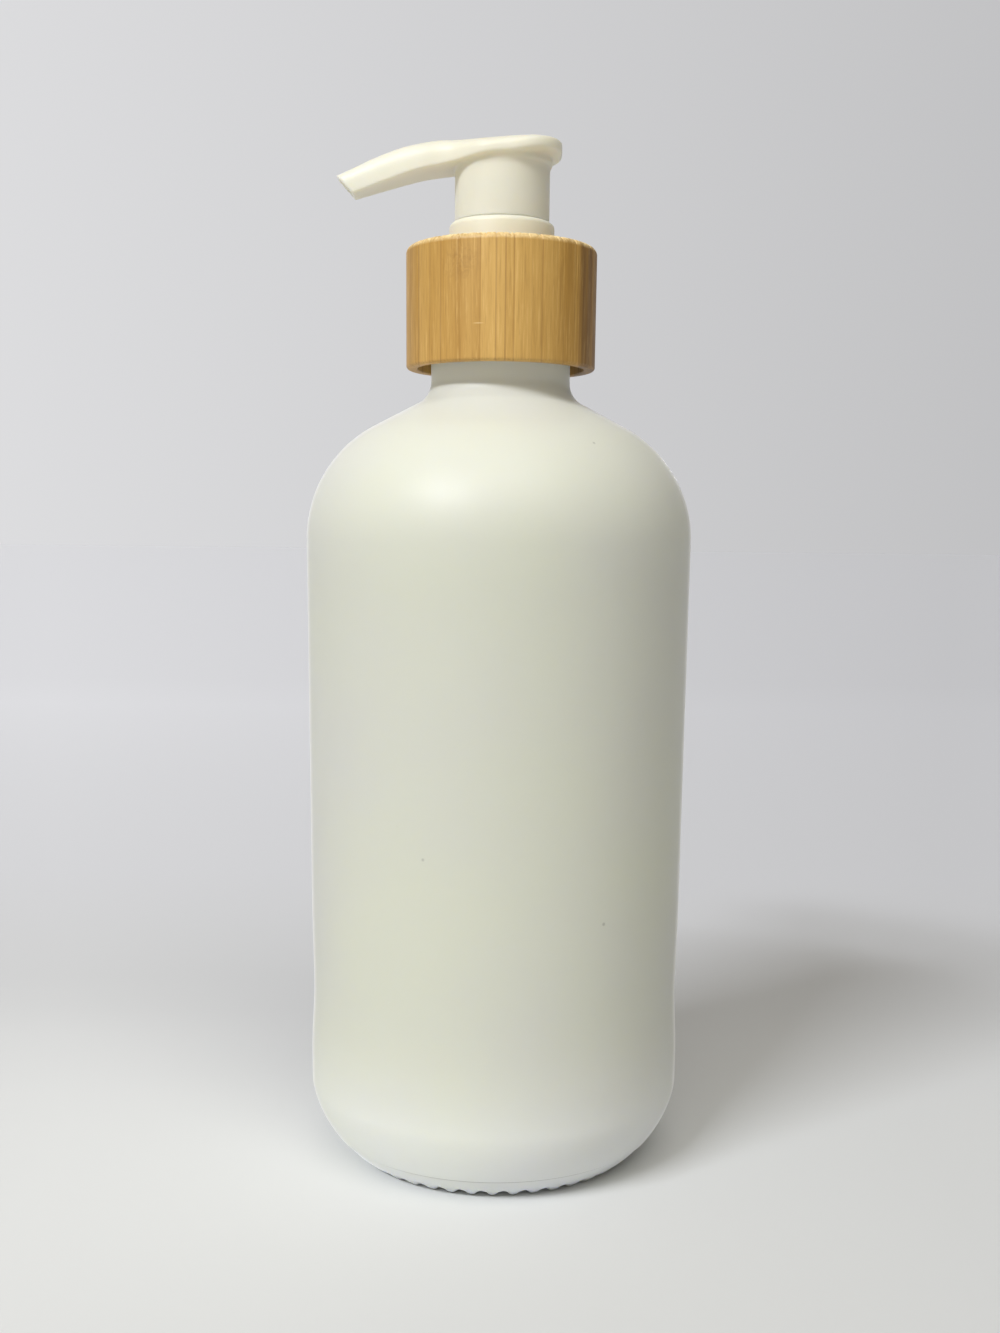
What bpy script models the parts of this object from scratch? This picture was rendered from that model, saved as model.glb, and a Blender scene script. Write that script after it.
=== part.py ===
"""A half-litre frosted glass bottle with a lock-down lotion pump under a bamboo collar.

The bottle stands on the origin, +Z up. The spout points along -X. The pump is shown
pressed down and locked, which is how such a pump is stored.
"""
import math

import bmesh
import bpy
from mathutils import Matrix, Vector

# Gap kept between neighbouring pieces, and how far any cutter runs past what it cuts
GAP = 0.0003
OVERRUN = 0.001

# Bottle body, from the base up
BEARING_RADIUS = 0.0278
BEARING_WIDTH = 0.0026
PUSH_UP = 0.0025
HEEL_HEIGHT = 0.0159
HEEL_BULGE = 0.0004
HEEL_BAND = 0.0052
WAIST_DEPTH = 0.0002
WAIST_RISE = 0.0149
PANEL_BLEND = 0.016
BODY_RADIUS = 0.0374
PANEL_HEIGHT = 0.0726
SHOULDER_RADIUS = 0.0242
SHOULDER_SWEEP = math.radians(62.7)
NECK_FILLET = 0.0046
NECK_LENGTH = 0.0045
GLASS_WALL = 0.0026
BASE_THICKNESS = 0.004
INNER_HEEL_RADIUS = 0.012

# Knurled ring round the bearing edge
KNURL_COUNT = 44
KNURL_DEPTH = 0.0009
KNURL_LENGTH = 0.008
KNURL_TILT = math.radians(20)

# Neck finish: bore, wall, single-start thread
BORE_RADIUS = 0.0092
NECK_WALL = 0.00325
NECK_STEP = 0.00085
FINISH_HEIGHT = 0.0104
RIM_ROUND = 0.0006
THREAD_DEPTH = 0.00125
THREAD_LEAD = 0.00423
THREAD_TURNS = 1.25
THREAD_START = 0.0021
THREAD_CREST = 0.001
THREAD_FOOT = 0.0022
THREAD_PLAY = 0.00035
THREAD_INNER_LAG = math.radians(100)
THREAD_FADE_SHARE = 1 / 6

# Gasket, threaded closure and bamboo collar
GASKET_THICKNESS = 0.001
CLOSURE_WALL = 0.00155
CLOSURE_TOP = 0.0016
BAMBOO_WALL = 0.00215
BAMBOO_TOP = 0.0026
COLLAR_HEIGHT = 0.022
COLLAR_RECESS = 0.0024
COLLAR_TOP_ROUND = 0.0012
COLLAR_FOOT_ROUND = 0.0006

# Pump barrel with its flange, inlet valve and dip tube
BARREL_CLEARANCE = 0.0022
BARREL_WALL = 0.0012
BARREL_FLANGE = 0.0014
POCKET_DEPTH = 0.0036
POCKET_PLAY = 0.0007
THROAT_LENGTH = 0.002
DIP_SOCKET_DEPTH = 0.01
DIP_SOCKET_WALL = 0.0013
DIP_RADIUS = 0.0028
DIP_WALL = 0.0008
DIP_CLEARANCE = 0.001
DIP_CUT_ANGLE = math.radians(35)
VENT_RADIUS = 0.0005
VENT_DROP = 0.0065
INLET_BALL_RADIUS = 0.0025
INLET_SEAT_RADIUS = 0.0019
BALL_PLAY = 0.00025
CAGE_PLATE = 0.0012
CAGE_SKIRT = 0.0018
CAGE_SKIRT_WALL = 0.0011
CAGE_HOLE_RADIUS = 0.0014
CAGE_SLOT_WIDTH = 0.0014

# Stroke, spring, piston and its core
STROKE = 0.013
SPRING_LENGTH = 0.0138
SPRING_WIRE_RADIUS = 0.00045
SPRING_TURNS = 8
SPRING_PLAY = 0.0009
PISTON_HEIGHT = 0.006
PISTON_LIP = 0.0014
PISTON_GROOVE = 0.0007
CORE_FLANGE = 0.0016
CORE_FLANGE_PLAY = 0.001
CORE_RADIUS = 0.0027
CORE_BORE = 0.0012
SPIGOT_RADIUS = 0.0021
SPIGOT_LENGTH = 0.006

# Stem, outlet valve and wiper
STEM_RADIUS = 0.0038
STEM_BORE = 0.0015
OUTLET_BALL_RADIUS = 0.002
CHAMBER_PLAY = 0.0005
CHAMBER_DEPTH = 0.0046
WIPER_WALL = 0.0016
WIPER_HEIGHT = 0.0014
WIPER_LIP = 0.0005

# Lock ring that closes the barrel and stands up through the collar
RING_FLANGE = 0.0012
RING_PLUG_LENGTH = 0.004
RING_WALL = 0.002
RING_HEIGHT = 0.0045
RING_TOP_ROUND = 0.001
RING_LEDGE = 0.0012

# Pump head: lock sleeve and lugs, skirt, lobe, spout
SLEEVE_WALL = 0.0024
SLEEVE_LIFT = 0.0012
LUG_REACH = 0.0011
LUG_WIDTH = 0.0045
LUG_HEIGHT = 0.0016
SKIRT_CAVITY = 0.0013
SKIRT_WALL = 0.0011
SKIRT_HEIGHT = 0.0098
SKIRT_CAVITY_HEIGHT = 0.0065
SKIRT_FLARE = 0.0005
SOCKET_ROOF = 0.0026
LOBE_THICKNESS = 0.0042
LOBE_HALF_WIDTH = 0.0103
LOBE_BACK = 0.0111
SPOUT_REACH = 0.0311
TIP_TOP_DROP = 0.0063
TIP_FOOT_DROP = 0.0055
TIP_HALF_WIDTH = 0.0033
CHANNEL_RADIUS = 0.0014
BALL_NOTCH_WIDTH = 0.001
BALL_NOTCH_DEPTH = 0.0008

# How finely round shapes are stepped
FINE_STEPS = 48
MID_STEPS = 36
SMALL_STEPS = 28
THREAD_STEPS = 32
SECTION_POINTS = 28

# Heights worked out from the sizes above
HEEL_BAND_TOP = HEEL_HEIGHT + HEEL_BAND
WAIST_Z = HEEL_BAND_TOP + WAIST_RISE
PANEL_START = WAIST_Z + PANEL_BLEND
SHOULDER_START = PANEL_START + PANEL_HEIGHT
FLOOR_Z = PUSH_UP + BASE_THICKNESS

ROOT_RADIUS = BORE_RADIUS + NECK_WALL
NECK_RADIUS = ROOT_RADIUS + NECK_STEP
CREST_RADIUS = ROOT_RADIUS + THREAD_DEPTH


def shoulder_points():
    """Ends of the shoulder: where its arc stops, and the top of the fillet into the neck."""
    arc_end_r = BODY_RADIUS - SHOULDER_RADIUS * (1 - math.cos(SHOULDER_SWEEP))
    arc_end_z = SHOULDER_START + SHOULDER_RADIUS * math.sin(SHOULDER_SWEEP)
    slope = math.tan(math.pi / 2 - SHOULDER_SWEEP)
    corner_z = arc_end_z + (arc_end_r - NECK_RADIUS) * slope
    fillet_top = corner_z + NECK_FILLET * math.tan(SHOULDER_SWEEP / 2)
    return arc_end_r, arc_end_z, fillet_top


FILLET_TOP = shoulder_points()[2]
LEDGE_Z = FILLET_TOP + NECK_LENGTH
RIM_Z = LEDGE_Z + FINISH_HEIGHT

GASKET_Z = RIM_Z + GAP
BARREL_FLANGE_Z = GASKET_Z + GASKET_THICKNESS + GAP
BARREL_TOP = BARREL_FLANGE_Z + BARREL_FLANGE
RING_FLANGE_Z = BARREL_TOP + GAP
RING_FLANGE_TOP = RING_FLANGE_Z + RING_FLANGE
CLOSURE_ROOF_Z = RING_FLANGE_TOP + GAP
CLOSURE_TOP_Z = CLOSURE_ROOF_Z + CLOSURE_TOP
COLLAR_ROOF_Z = CLOSURE_TOP_Z + GAP
COLLAR_TOP_Z = COLLAR_ROOF_Z + BAMBOO_TOP
COLLAR_FOOT_Z = COLLAR_TOP_Z - COLLAR_HEIGHT
CLOSURE_FOOT_Z = COLLAR_FOOT_Z + COLLAR_RECESS

CLOSURE_BORE = CREST_RADIUS + THREAD_PLAY
CLOSURE_RADIUS = CLOSURE_BORE + CLOSURE_WALL
COLLAR_BORE = CLOSURE_RADIUS + GAP
COLLAR_RADIUS = COLLAR_BORE + BAMBOO_WALL

SOCKET_RADIUS = STEM_RADIUS + GAP
SLEEVE_RADIUS = SOCKET_RADIUS + SLEEVE_WALL
LUG_RADIUS = SLEEVE_RADIUS + LUG_REACH
GROOVE_RADIUS = LUG_RADIUS + GAP
RING_RADIUS = GROOVE_RADIUS + RING_WALL
RING_HOLE = RING_RADIUS + GAP
SKIRT_INNER = SLEEVE_RADIUS + SKIRT_CAVITY
SKIRT_RADIUS = SKIRT_INNER + SKIRT_WALL

WIPER_RADIUS = SOCKET_RADIUS + WIPER_WALL
WIPER_POCKET = WIPER_RADIUS + GAP
WIPER_Z = RING_FLANGE_TOP + GAP
GROOVE_FLOOR_Z = WIPER_Z + WIPER_HEIGHT + GAP
RING_TOP_Z = COLLAR_TOP_Z + RING_HEIGHT
LEDGE_UNDER_Z = RING_TOP_Z - RING_LEDGE
RING_PLUG_Z = RING_FLANGE_Z - RING_PLUG_LENGTH

BARREL_RADIUS = BORE_RADIUS - BARREL_CLEARANCE
BARREL_BORE = BARREL_RADIUS - BARREL_WALL
BARREL_FIT = BARREL_BORE - GAP
PISTON_RADIUS = BARREL_FIT
PISTON_TOP = RING_PLUG_Z - GAP - STROKE
PISTON_Z = PISTON_TOP - PISTON_HEIGHT
CORE_FLANGE_TOP = PISTON_Z - GAP
CORE_Z = CORE_FLANGE_TOP - CORE_FLANGE
SPRING_TOP = CORE_Z - GAP
SPRING_Z = SPRING_TOP - SPRING_LENGTH
CAGE_TOP = SPRING_Z - GAP
CAGE_CEILING = CAGE_TOP - CAGE_PLATE
CAGE_Z = CAGE_CEILING - CAGE_SKIRT
BARREL_LEDGE = CAGE_Z - GAP
INLET_SEAT_Z = BARREL_LEDGE - POCKET_DEPTH
DIP_STOP_Z = INLET_SEAT_Z - THROAT_LENGTH
BARREL_FOOT_Z = DIP_STOP_Z - DIP_SOCKET_DEPTH
DIP_SOCKET_RADIUS = DIP_RADIUS + GAP
DIP_SOCKET_OUTER = DIP_SOCKET_RADIUS + DIP_SOCKET_WALL
DIP_TOP = DIP_STOP_Z - GAP
DIP_Z = FLOOR_Z + DIP_CLEARANCE

SKIRT_Z = RING_TOP_Z + GAP
LOBE_Z = SKIRT_Z + SKIRT_HEIGHT
LOBE_TOP = LOBE_Z + LOBE_THICKNESS
SOCKET_TOP = LOBE_Z - SOCKET_ROOF
STEM_Z = PISTON_TOP + GAP
STEM_TOP = SOCKET_TOP - GAP
SPIGOT_TOP = PISTON_TOP + SPIGOT_LENGTH
CHAMBER_Z = STEM_TOP - CHAMBER_DEPTH

OBJECT_NAME = "lotion_pump_bottle"


def clear_scene():
    for thing in list(bpy.data.objects):
        bpy.data.objects.remove(thing, do_unlink=True)


def new_collection(name):
    group = bpy.data.collections.new(name)
    bpy.context.scene.collection.children.link(group)
    return group


clear_scene()
PARTS = new_collection(OBJECT_NAME)
CUTTERS = new_collection("cutters")


def material(name, colour, roughness, metallic=0.0, transmission=0.0):
    """A Principled material; the colour is linear RGB."""
    made = bpy.data.materials.new(name)
    made.use_nodes = True
    shader = made.node_tree.nodes["Principled BSDF"]
    shader.inputs["Base Color"].default_value = (*colour, 1.0)
    shader.inputs["Roughness"].default_value = roughness
    shader.inputs["Metallic"].default_value = metallic
    shader.inputs["Transmission Weight"].default_value = transmission
    made.diffuse_color = (*colour, 1.0)
    return made


FROSTED_GLASS = material("frosted_glass", (0.62, 0.65, 0.57), 0.45, transmission=0.2)
BAMBOO = material("bamboo", (0.55, 0.33, 0.11), 0.5)
CREAM_PLASTIC = material("cream_plastic", (0.82, 0.78, 0.66), 0.35)
NATURAL_PLASTIC = material("natural_plastic", (0.8, 0.8, 0.76), 0.4)
FOAM = material("gasket_foam", (0.85, 0.85, 0.83), 0.8)
SOFT_PLASTIC = material("soft_plastic", (0.7, 0.72, 0.74), 0.5)
STEEL = material("spring_steel", (0.6, 0.6, 0.6), 0.25, metallic=1.0)
GLASS_BALL = material("ball_glass", (0.75, 0.82, 0.8), 0.05, transmission=0.8)


def place(thing, surface):
    """Put a finished object in the parts collection with its material."""
    thing.data.materials.clear()
    thing.data.materials.append(surface)
    for group in list(thing.users_collection):
        group.objects.unlink(thing)
    PARTS.objects.link(thing)
    return thing


def hide_cutter(thing):
    for group in list(thing.users_collection):
        group.objects.unlink(thing)
    CUTTERS.objects.link(thing)
    thing.hide_render = True
    thing.display_type = "WIRE"
    return thing


def mesh_object(name, bm):
    """Turn a bmesh into an object, its faces pointing out."""
    bmesh.ops.recalc_face_normals(bm, faces=bm.faces)
    mesh = bpy.data.meshes.new(name)
    bm.to_mesh(mesh)
    bm.free()
    thing = bpy.data.objects.new(name, mesh)
    bpy.context.scene.collection.objects.link(thing)
    return thing


def arc(centre_r, centre_z, radius, start, stop, count):
    """Points along an arc in the profile plane, both ends included; angles in degrees."""
    points = []
    for step in range(count + 1):
        angle = math.radians(start + (stop - start) * step / count)
        points.append((centre_r + radius * math.cos(angle), centre_z + radius * math.sin(angle)))
    return points


def without_repeats(points):
    kept = []
    for point in points:
        if not kept or math.dist(point, kept[-1]) > GAP / 100:
            kept.append(point)
    return kept


def turned(name, profile, steps, closed):
    """Turn a profile of (radius, height) about Z; its outer side runs from top to bottom."""
    points = without_repeats(profile)
    bm = bmesh.new()
    verts = [bm.verts.new((r, 0, z)) for r, z in points]
    for first, second in zip(verts, verts[1:]):
        bm.edges.new((first, second))
    if closed:
        bm.edges.new((verts[-1], verts[0]))
    mesh = bpy.data.meshes.new(name)
    bm.to_mesh(mesh)
    bm.free()
    thing = bpy.data.objects.new(name, mesh)
    bpy.context.scene.collection.objects.link(thing)
    screw = thing.modifiers.new("turn", "SCREW")
    screw.axis = "Z"
    screw.angle = 2 * math.pi
    screw.steps = steps
    screw.render_steps = steps
    screw.use_merge_vertices = True
    screw.merge_threshold = GAP / 300
    screw.use_smooth_shade = True
    return thing


def boolean(thing, tool, operation):
    cut = thing.modifiers.new(operation.lower(), "BOOLEAN")
    cut.operation = operation
    cut.solver = "EXACT"
    cut.object = hide_cutter(tool)


def rod(name, radius, bottom, top, steps=SMALL_STEPS, centre=(0, 0)):
    """An upright cylinder."""
    bm = bmesh.new()
    middle = Matrix.Translation((centre[0], centre[1], (bottom + top) / 2))
    bmesh.ops.create_cone(bm, cap_ends=True, segments=steps, radius1=radius, radius2=radius,
                          depth=top - bottom, matrix=middle)
    return mesh_object(name, bm)


def block(name, size, centre):
    bm = bmesh.new()
    stretch = Matrix.Translation(centre) @ Matrix.Diagonal((*size, 1))
    bmesh.ops.create_cube(bm, size=1, matrix=stretch)
    return mesh_object(name, bm)


def ball(name, radius, height, surface):
    bm = bmesh.new()
    bmesh.ops.create_uvsphere(bm, u_segments=16, v_segments=10, radius=radius)
    thing = mesh_object(name, bm)
    thing.location = (0, 0, height)
    thing.data.shade_smooth()
    return place(thing, surface)


def thread_ridge(name, foot_radius, crest_radius, start_z, start_angle):
    """A helical ridge of trapezoid section that tapers away at both ends."""
    count = round(THREAD_TURNS * THREAD_STEPS)
    fade = round(THREAD_STEPS * THREAD_FADE_SHARE)
    bm = bmesh.new()
    rings = []
    for step in range(count + 1):
        turn = 2 * math.pi * step / THREAD_STEPS
        angle = start_angle + turn
        height = start_z + THREAD_LEAD * turn / (2 * math.pi)
        grown = min(1, (min(step, count - step) + 0.5) / fade)
        crest = foot_radius + (crest_radius - foot_radius) * grown
        ring = []
        section = ((foot_radius, -THREAD_FOOT / 2), (crest, -THREAD_CREST / 2),
                   (crest, THREAD_CREST / 2), (foot_radius, THREAD_FOOT / 2))
        for radius, rise in section:
            ring.append(bm.verts.new((radius * math.cos(angle), radius * math.sin(angle),
                                      height + rise)))
        rings.append(ring)
    for lower, upper in zip(rings, rings[1:]):
        for side in range(len(lower)):
            after = (side + 1) % len(lower)
            bm.faces.new((lower[side], lower[after], upper[after], upper[side]))
    bm.faces.new(rings[0])
    bm.faces.new(rings[-1])
    return mesh_object(name, bm)


def heel_curve(count):
    """The heel: a cubic curve from the bulged band down and in to the bearing ring."""
    outer = BODY_RADIUS + HEEL_BULGE
    fall_share = 0.71
    foot_reach_share = 0.585
    foot_rise_share = 0.197
    p0 = Vector((outer, HEEL_HEIGHT))
    p1 = Vector((outer, HEEL_HEIGHT * fall_share))
    p2 = Vector((BEARING_RADIUS + (outer - BEARING_RADIUS) * foot_reach_share,
                 HEEL_HEIGHT * foot_rise_share))
    p3 = Vector((BEARING_RADIUS, 0))
    points = []
    for step in range(count + 1):
        t = step / count
        point = (p0 * (1 - t) ** 3 + p1 * 3 * t * (1 - t) ** 2
                 + p2 * 3 * t * t * (1 - t) + p3 * t ** 3)
        points.append((point.x, point.y))
    return points


def blend(start, stop, count):
    """An eased S-curve between two profile points."""
    points = []
    for step in range(1, count + 1):
        t = step / count
        ease = t * t * (3 - 2 * t)
        points.append((start[0] + (stop[0] - start[0]) * ease,
                       start[1] + (stop[1] - start[1]) * t))
    return points


def bottle_outline():
    """The glass section, from the middle of the inner floor up, over the rim and down."""
    sweep = math.degrees(SHOULDER_SWEEP)
    arc_end_r, arc_end_z, fillet_top = shoulder_points()
    inner_radius = BODY_RADIUS - GLASS_WALL
    inner_heel_z = BASE_THICKNESS + INNER_HEEL_RADIUS
    inner = [(0, FLOOR_Z)]
    inner += arc(inner_radius - INNER_HEEL_RADIUS, inner_heel_z, INNER_HEEL_RADIUS, -90, 0, 4)
    inner += arc(BODY_RADIUS - SHOULDER_RADIUS, SHOULDER_START,
                 SHOULDER_RADIUS - GLASS_WALL, 0, sweep, 4)
    inner += list(reversed(arc(BORE_RADIUS + NECK_FILLET, fillet_top, NECK_FILLET,
                               180, 180 + sweep, 2)))
    inner += [(BORE_RADIUS, RIM_Z)]
    rim = [(ROOT_RADIUS - RIM_ROUND, RIM_Z), (ROOT_RADIUS, RIM_Z - RIM_ROUND)]
    neck = [(ROOT_RADIUS, LEDGE_Z + NECK_STEP), (NECK_RADIUS, LEDGE_Z)]
    neck += arc(NECK_RADIUS + NECK_FILLET, fillet_top, NECK_FILLET, 180, 180 + sweep, 4)
    shoulder = list(reversed(arc(BODY_RADIUS - SHOULDER_RADIUS, SHOULDER_START,
                                 SHOULDER_RADIUS, 0, sweep, 8)))
    waist = (BODY_RADIUS - WAIST_DEPTH, WAIST_Z)
    band = (BODY_RADIUS + HEEL_BULGE, HEEL_BAND_TOP)
    body = [(BODY_RADIUS, PANEL_START)]
    body += blend((BODY_RADIUS, PANEL_START), waist, 2)
    body += blend(waist, band, 3)
    heel = heel_curve(8)
    bearing_inner = BEARING_RADIUS - BEARING_WIDTH
    dome_share = 0.75
    base = [(bearing_inner, 0), (bearing_inner / 2, PUSH_UP * dome_share), (0, PUSH_UP)]
    return inner + rim + neck + shoulder + body + heel + base


def knurl_cutter():
    """Tapered rods laid like spokes under the bearing edge; each one scoops a flute."""
    bm = bmesh.new()
    pitch_angle = 2 * math.pi / KNURL_COUNT
    fill_share = 0.48
    inner = BEARING_RADIUS - BEARING_WIDTH / 2
    outer = inner + KNURL_LENGTH
    small = inner * pitch_angle * fill_share
    large = outer * pitch_angle * fill_share
    for index in range(KNURL_COUNT):
        turn = Matrix.Rotation(pitch_angle * (index + 0.5), 4, "Z")
        push = Matrix.Translation((BEARING_RADIUS, 0, KNURL_DEPTH - (small + large) / 2))
        lean = Matrix.Rotation(math.pi / 2 - KNURL_TILT, 4, "Y")
        slide = Matrix.Translation((0, 0, KNURL_LENGTH / 2 - BEARING_WIDTH / 2))
        bmesh.ops.create_cone(bm, cap_ends=True, segments=10, radius1=small, radius2=large,
                              depth=KNURL_LENGTH, matrix=turn @ push @ lean @ slide)
    return mesh_object("knurl_cutter", bm)


def make_bottle():
    bottle = turned("bottle", bottle_outline(), KNURL_COUNT, closed=False)
    embed = NECK_WALL / 4
    ridge = thread_ridge("neck_thread", ROOT_RADIUS - embed, CREST_RADIUS,
                         LEDGE_Z + THREAD_START, 0)
    boolean(bottle, ridge, "UNION")
    boolean(bottle, knurl_cutter(), "DIFFERENCE")
    return place(bottle, FROSTED_GLASS)


def make_gasket():
    profile = [(ROOT_RADIUS, GASKET_Z + GASKET_THICKNESS), (ROOT_RADIUS, GASKET_Z),
               (BORE_RADIUS, GASKET_Z), (BORE_RADIUS, GASKET_Z + GASKET_THICKNESS)]
    return place(turned("bottle_gasket", profile, MID_STEPS, closed=True), FOAM)


def make_closure():
    profile = [(RING_HOLE, CLOSURE_TOP_Z), (CLOSURE_RADIUS - CLOSURE_WALL / 3, CLOSURE_TOP_Z),
               (CLOSURE_RADIUS, CLOSURE_TOP_Z - CLOSURE_WALL / 3),
               (CLOSURE_RADIUS, CLOSURE_FOOT_Z), (CLOSURE_BORE, CLOSURE_FOOT_Z),
               (CLOSURE_BORE, CLOSURE_ROOF_Z), (RING_HOLE, CLOSURE_ROOF_Z)]
    closure = turned("threaded_closure", profile, FINE_STEPS, closed=True)
    half_widths = (THREAD_CREST + THREAD_FOOT) / 2
    behind = half_widths + GAP / 2
    lag_rise = THREAD_LEAD * THREAD_INNER_LAG / (2 * math.pi)
    start_z = LEDGE_Z + THREAD_START - behind + lag_rise
    embed = CLOSURE_WALL / 4
    ridge = thread_ridge("closure_thread", CLOSURE_BORE + embed, ROOT_RADIUS + GAP, start_z,
                         THREAD_INNER_LAG)
    boolean(closure, ridge, "UNION")
    return place(closure, CREAM_PLASTIC)


def make_collar():
    profile = [(RING_HOLE, COLLAR_TOP_Z)]
    profile += list(reversed(arc(COLLAR_RADIUS - COLLAR_TOP_ROUND, COLLAR_TOP_Z - COLLAR_TOP_ROUND,
                                 COLLAR_TOP_ROUND, 0, 90, 4)))
    profile += list(reversed(arc(COLLAR_RADIUS - COLLAR_FOOT_ROUND,
                                 COLLAR_FOOT_Z + COLLAR_FOOT_ROUND, COLLAR_FOOT_ROUND, 270, 360, 2)))
    profile += [(COLLAR_BORE, COLLAR_FOOT_Z), (COLLAR_BORE, COLLAR_ROOF_Z),
                (RING_HOLE, COLLAR_ROOF_Z)]
    return place(turned("bamboo_collar", profile, FINE_STEPS, closed=True), BAMBOO)


def make_lock_ring():
    ledge_bore = SLEEVE_RADIUS + GAP
    profile = [(ledge_bore, RING_TOP_Z)]
    profile += list(reversed(arc(RING_RADIUS - RING_TOP_ROUND, RING_TOP_Z - RING_TOP_ROUND,
                                 RING_TOP_ROUND, 0, 90, 3)))
    profile += [(RING_RADIUS, RING_FLANGE_TOP), (ROOT_RADIUS, RING_FLANGE_TOP),
                (ROOT_RADIUS, RING_FLANGE_Z), (BARREL_FIT, RING_FLANGE_Z),
                (BARREL_FIT, RING_PLUG_Z), (SOCKET_RADIUS, RING_PLUG_Z),
                (SOCKET_RADIUS, RING_FLANGE_TOP), (WIPER_POCKET, RING_FLANGE_TOP),
                (WIPER_POCKET, GROOVE_FLOOR_Z), (GROOVE_RADIUS, GROOVE_FLOOR_Z),
                (GROOVE_RADIUS, LEDGE_UNDER_Z), (ledge_bore, LEDGE_UNDER_Z)]
    ring = turned("lock_ring", profile, MID_STEPS, closed=True)
    width = LUG_WIDTH + 2 * GAP
    inscribed = GROOVE_RADIUS * math.cos(math.pi / MID_STEPS)
    length = 2 * math.sqrt(inscribed ** 2 - (width / 2) ** 2)
    height = RING_LEDGE + 2 * OVERRUN
    slots = block("lug_slots", (width, length, height),
                  (0, 0, (RING_TOP_Z + LEDGE_UNDER_Z) / 2))
    boolean(ring, slots, "DIFFERENCE")
    return place(ring, CREAM_PLASTIC)


def make_wiper():
    top = WIPER_Z + WIPER_HEIGHT
    profile = [(WIPER_RADIUS - WIPER_LIP, top), (WIPER_RADIUS, top - WIPER_LIP),
               (WIPER_RADIUS, WIPER_Z), (SOCKET_RADIUS + WIPER_LIP, WIPER_Z),
               (SOCKET_RADIUS, WIPER_Z + WIPER_LIP), (SOCKET_RADIUS, top)]
    return place(turned("stem_wiper", profile, SMALL_STEPS, closed=True), SOFT_PLASTIC)


def make_barrel():
    pocket = INLET_BALL_RADIUS + POCKET_PLAY
    lead_in = CAGE_SKIRT_WALL / 2
    profile = [(BARREL_BORE, BARREL_TOP), (ROOT_RADIUS, BARREL_TOP),
               (ROOT_RADIUS, BARREL_FLANGE_Z), (BARREL_RADIUS, BARREL_FLANGE_Z),
               (BARREL_RADIUS, BARREL_LEDGE - BARREL_WALL),
               (DIP_SOCKET_OUTER, INLET_SEAT_Z - BARREL_WALL),
               (DIP_SOCKET_OUTER, BARREL_FOOT_Z), (DIP_SOCKET_RADIUS, BARREL_FOOT_Z),
               (DIP_SOCKET_RADIUS, DIP_STOP_Z), (INLET_SEAT_RADIUS, DIP_STOP_Z),
               (INLET_SEAT_RADIUS, INLET_SEAT_Z), (pocket, INLET_SEAT_Z + lead_in),
               (pocket, BARREL_LEDGE), (BARREL_BORE, BARREL_LEDGE)]
    barrel = turned("pump_barrel", profile, MID_STEPS, closed=True)
    bm = bmesh.new()
    reach = (BARREL_RADIUS + BARREL_BORE) / 2
    lay = Matrix.Translation((reach, 0, BARREL_TOP - VENT_DROP)) @ Matrix.Rotation(math.pi / 2, 4, "Y")
    bmesh.ops.create_cone(bm, cap_ends=True, segments=8, radius1=VENT_RADIUS, radius2=VENT_RADIUS,
                          depth=BARREL_WALL + 2 * OVERRUN, matrix=lay)
    boolean(barrel, mesh_object("vent_cutter", bm), "DIFFERENCE")
    return place(barrel, NATURAL_PLASTIC)


def make_cage():
    """Holds the inlet ball down in its pocket and carries the foot of the spring."""
    skirt_inner = BARREL_FIT - CAGE_SKIRT_WALL
    profile = [(CAGE_HOLE_RADIUS, CAGE_TOP), (BARREL_FIT, CAGE_TOP), (BARREL_FIT, CAGE_Z),
               (skirt_inner, CAGE_Z), (skirt_inner, CAGE_CEILING),
               (CAGE_HOLE_RADIUS, CAGE_CEILING)]
    cage = turned("ball_cage", profile, SMALL_STEPS, closed=True)
    reach_share = 0.75
    length = 2 * skirt_inner * reach_share
    for name, size in (("cage_slot_x", (length, CAGE_SLOT_WIDTH)),
                       ("cage_slot_y", (CAGE_SLOT_WIDTH, length))):
        slot = block(name, (*size, CAGE_PLATE + 2 * OVERRUN), (0, 0, CAGE_CEILING + CAGE_PLATE / 2))
        boolean(cage, slot, "DIFFERENCE")
    return place(cage, NATURAL_PLASTIC)


def seated_ball_z(seat_z, ball_radius, seat_radius):
    return seat_z + math.sqrt(ball_radius ** 2 - seat_radius ** 2) + BALL_PLAY


def make_dip_tube():
    """The foot is cut at a slant, so that the tube can't seal itself against the floor."""
    bore = DIP_RADIUS - DIP_WALL
    uncut_foot = DIP_Z - OVERRUN
    profile = [(bore, DIP_TOP), (DIP_RADIUS, DIP_TOP), (DIP_RADIUS, uncut_foot), (bore, uncut_foot)]
    tube = turned("dip_tube", profile, SMALL_STEPS, closed=True)
    size = 8 * DIP_RADIUS
    knife = block("dip_knife", (size, size, size), (0, 0, 0))
    facing = Vector((math.sin(DIP_CUT_ANGLE), 0, math.cos(DIP_CUT_ANGLE)))
    on_cut = Vector((DIP_RADIUS, 0, DIP_Z))
    knife.rotation_euler = (0, DIP_CUT_ANGLE, 0)
    knife.location = on_cut - facing * size / 2
    boolean(tube, knife, "DIFFERENCE")
    return place(tube, SOFT_PLASTIC)


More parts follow.
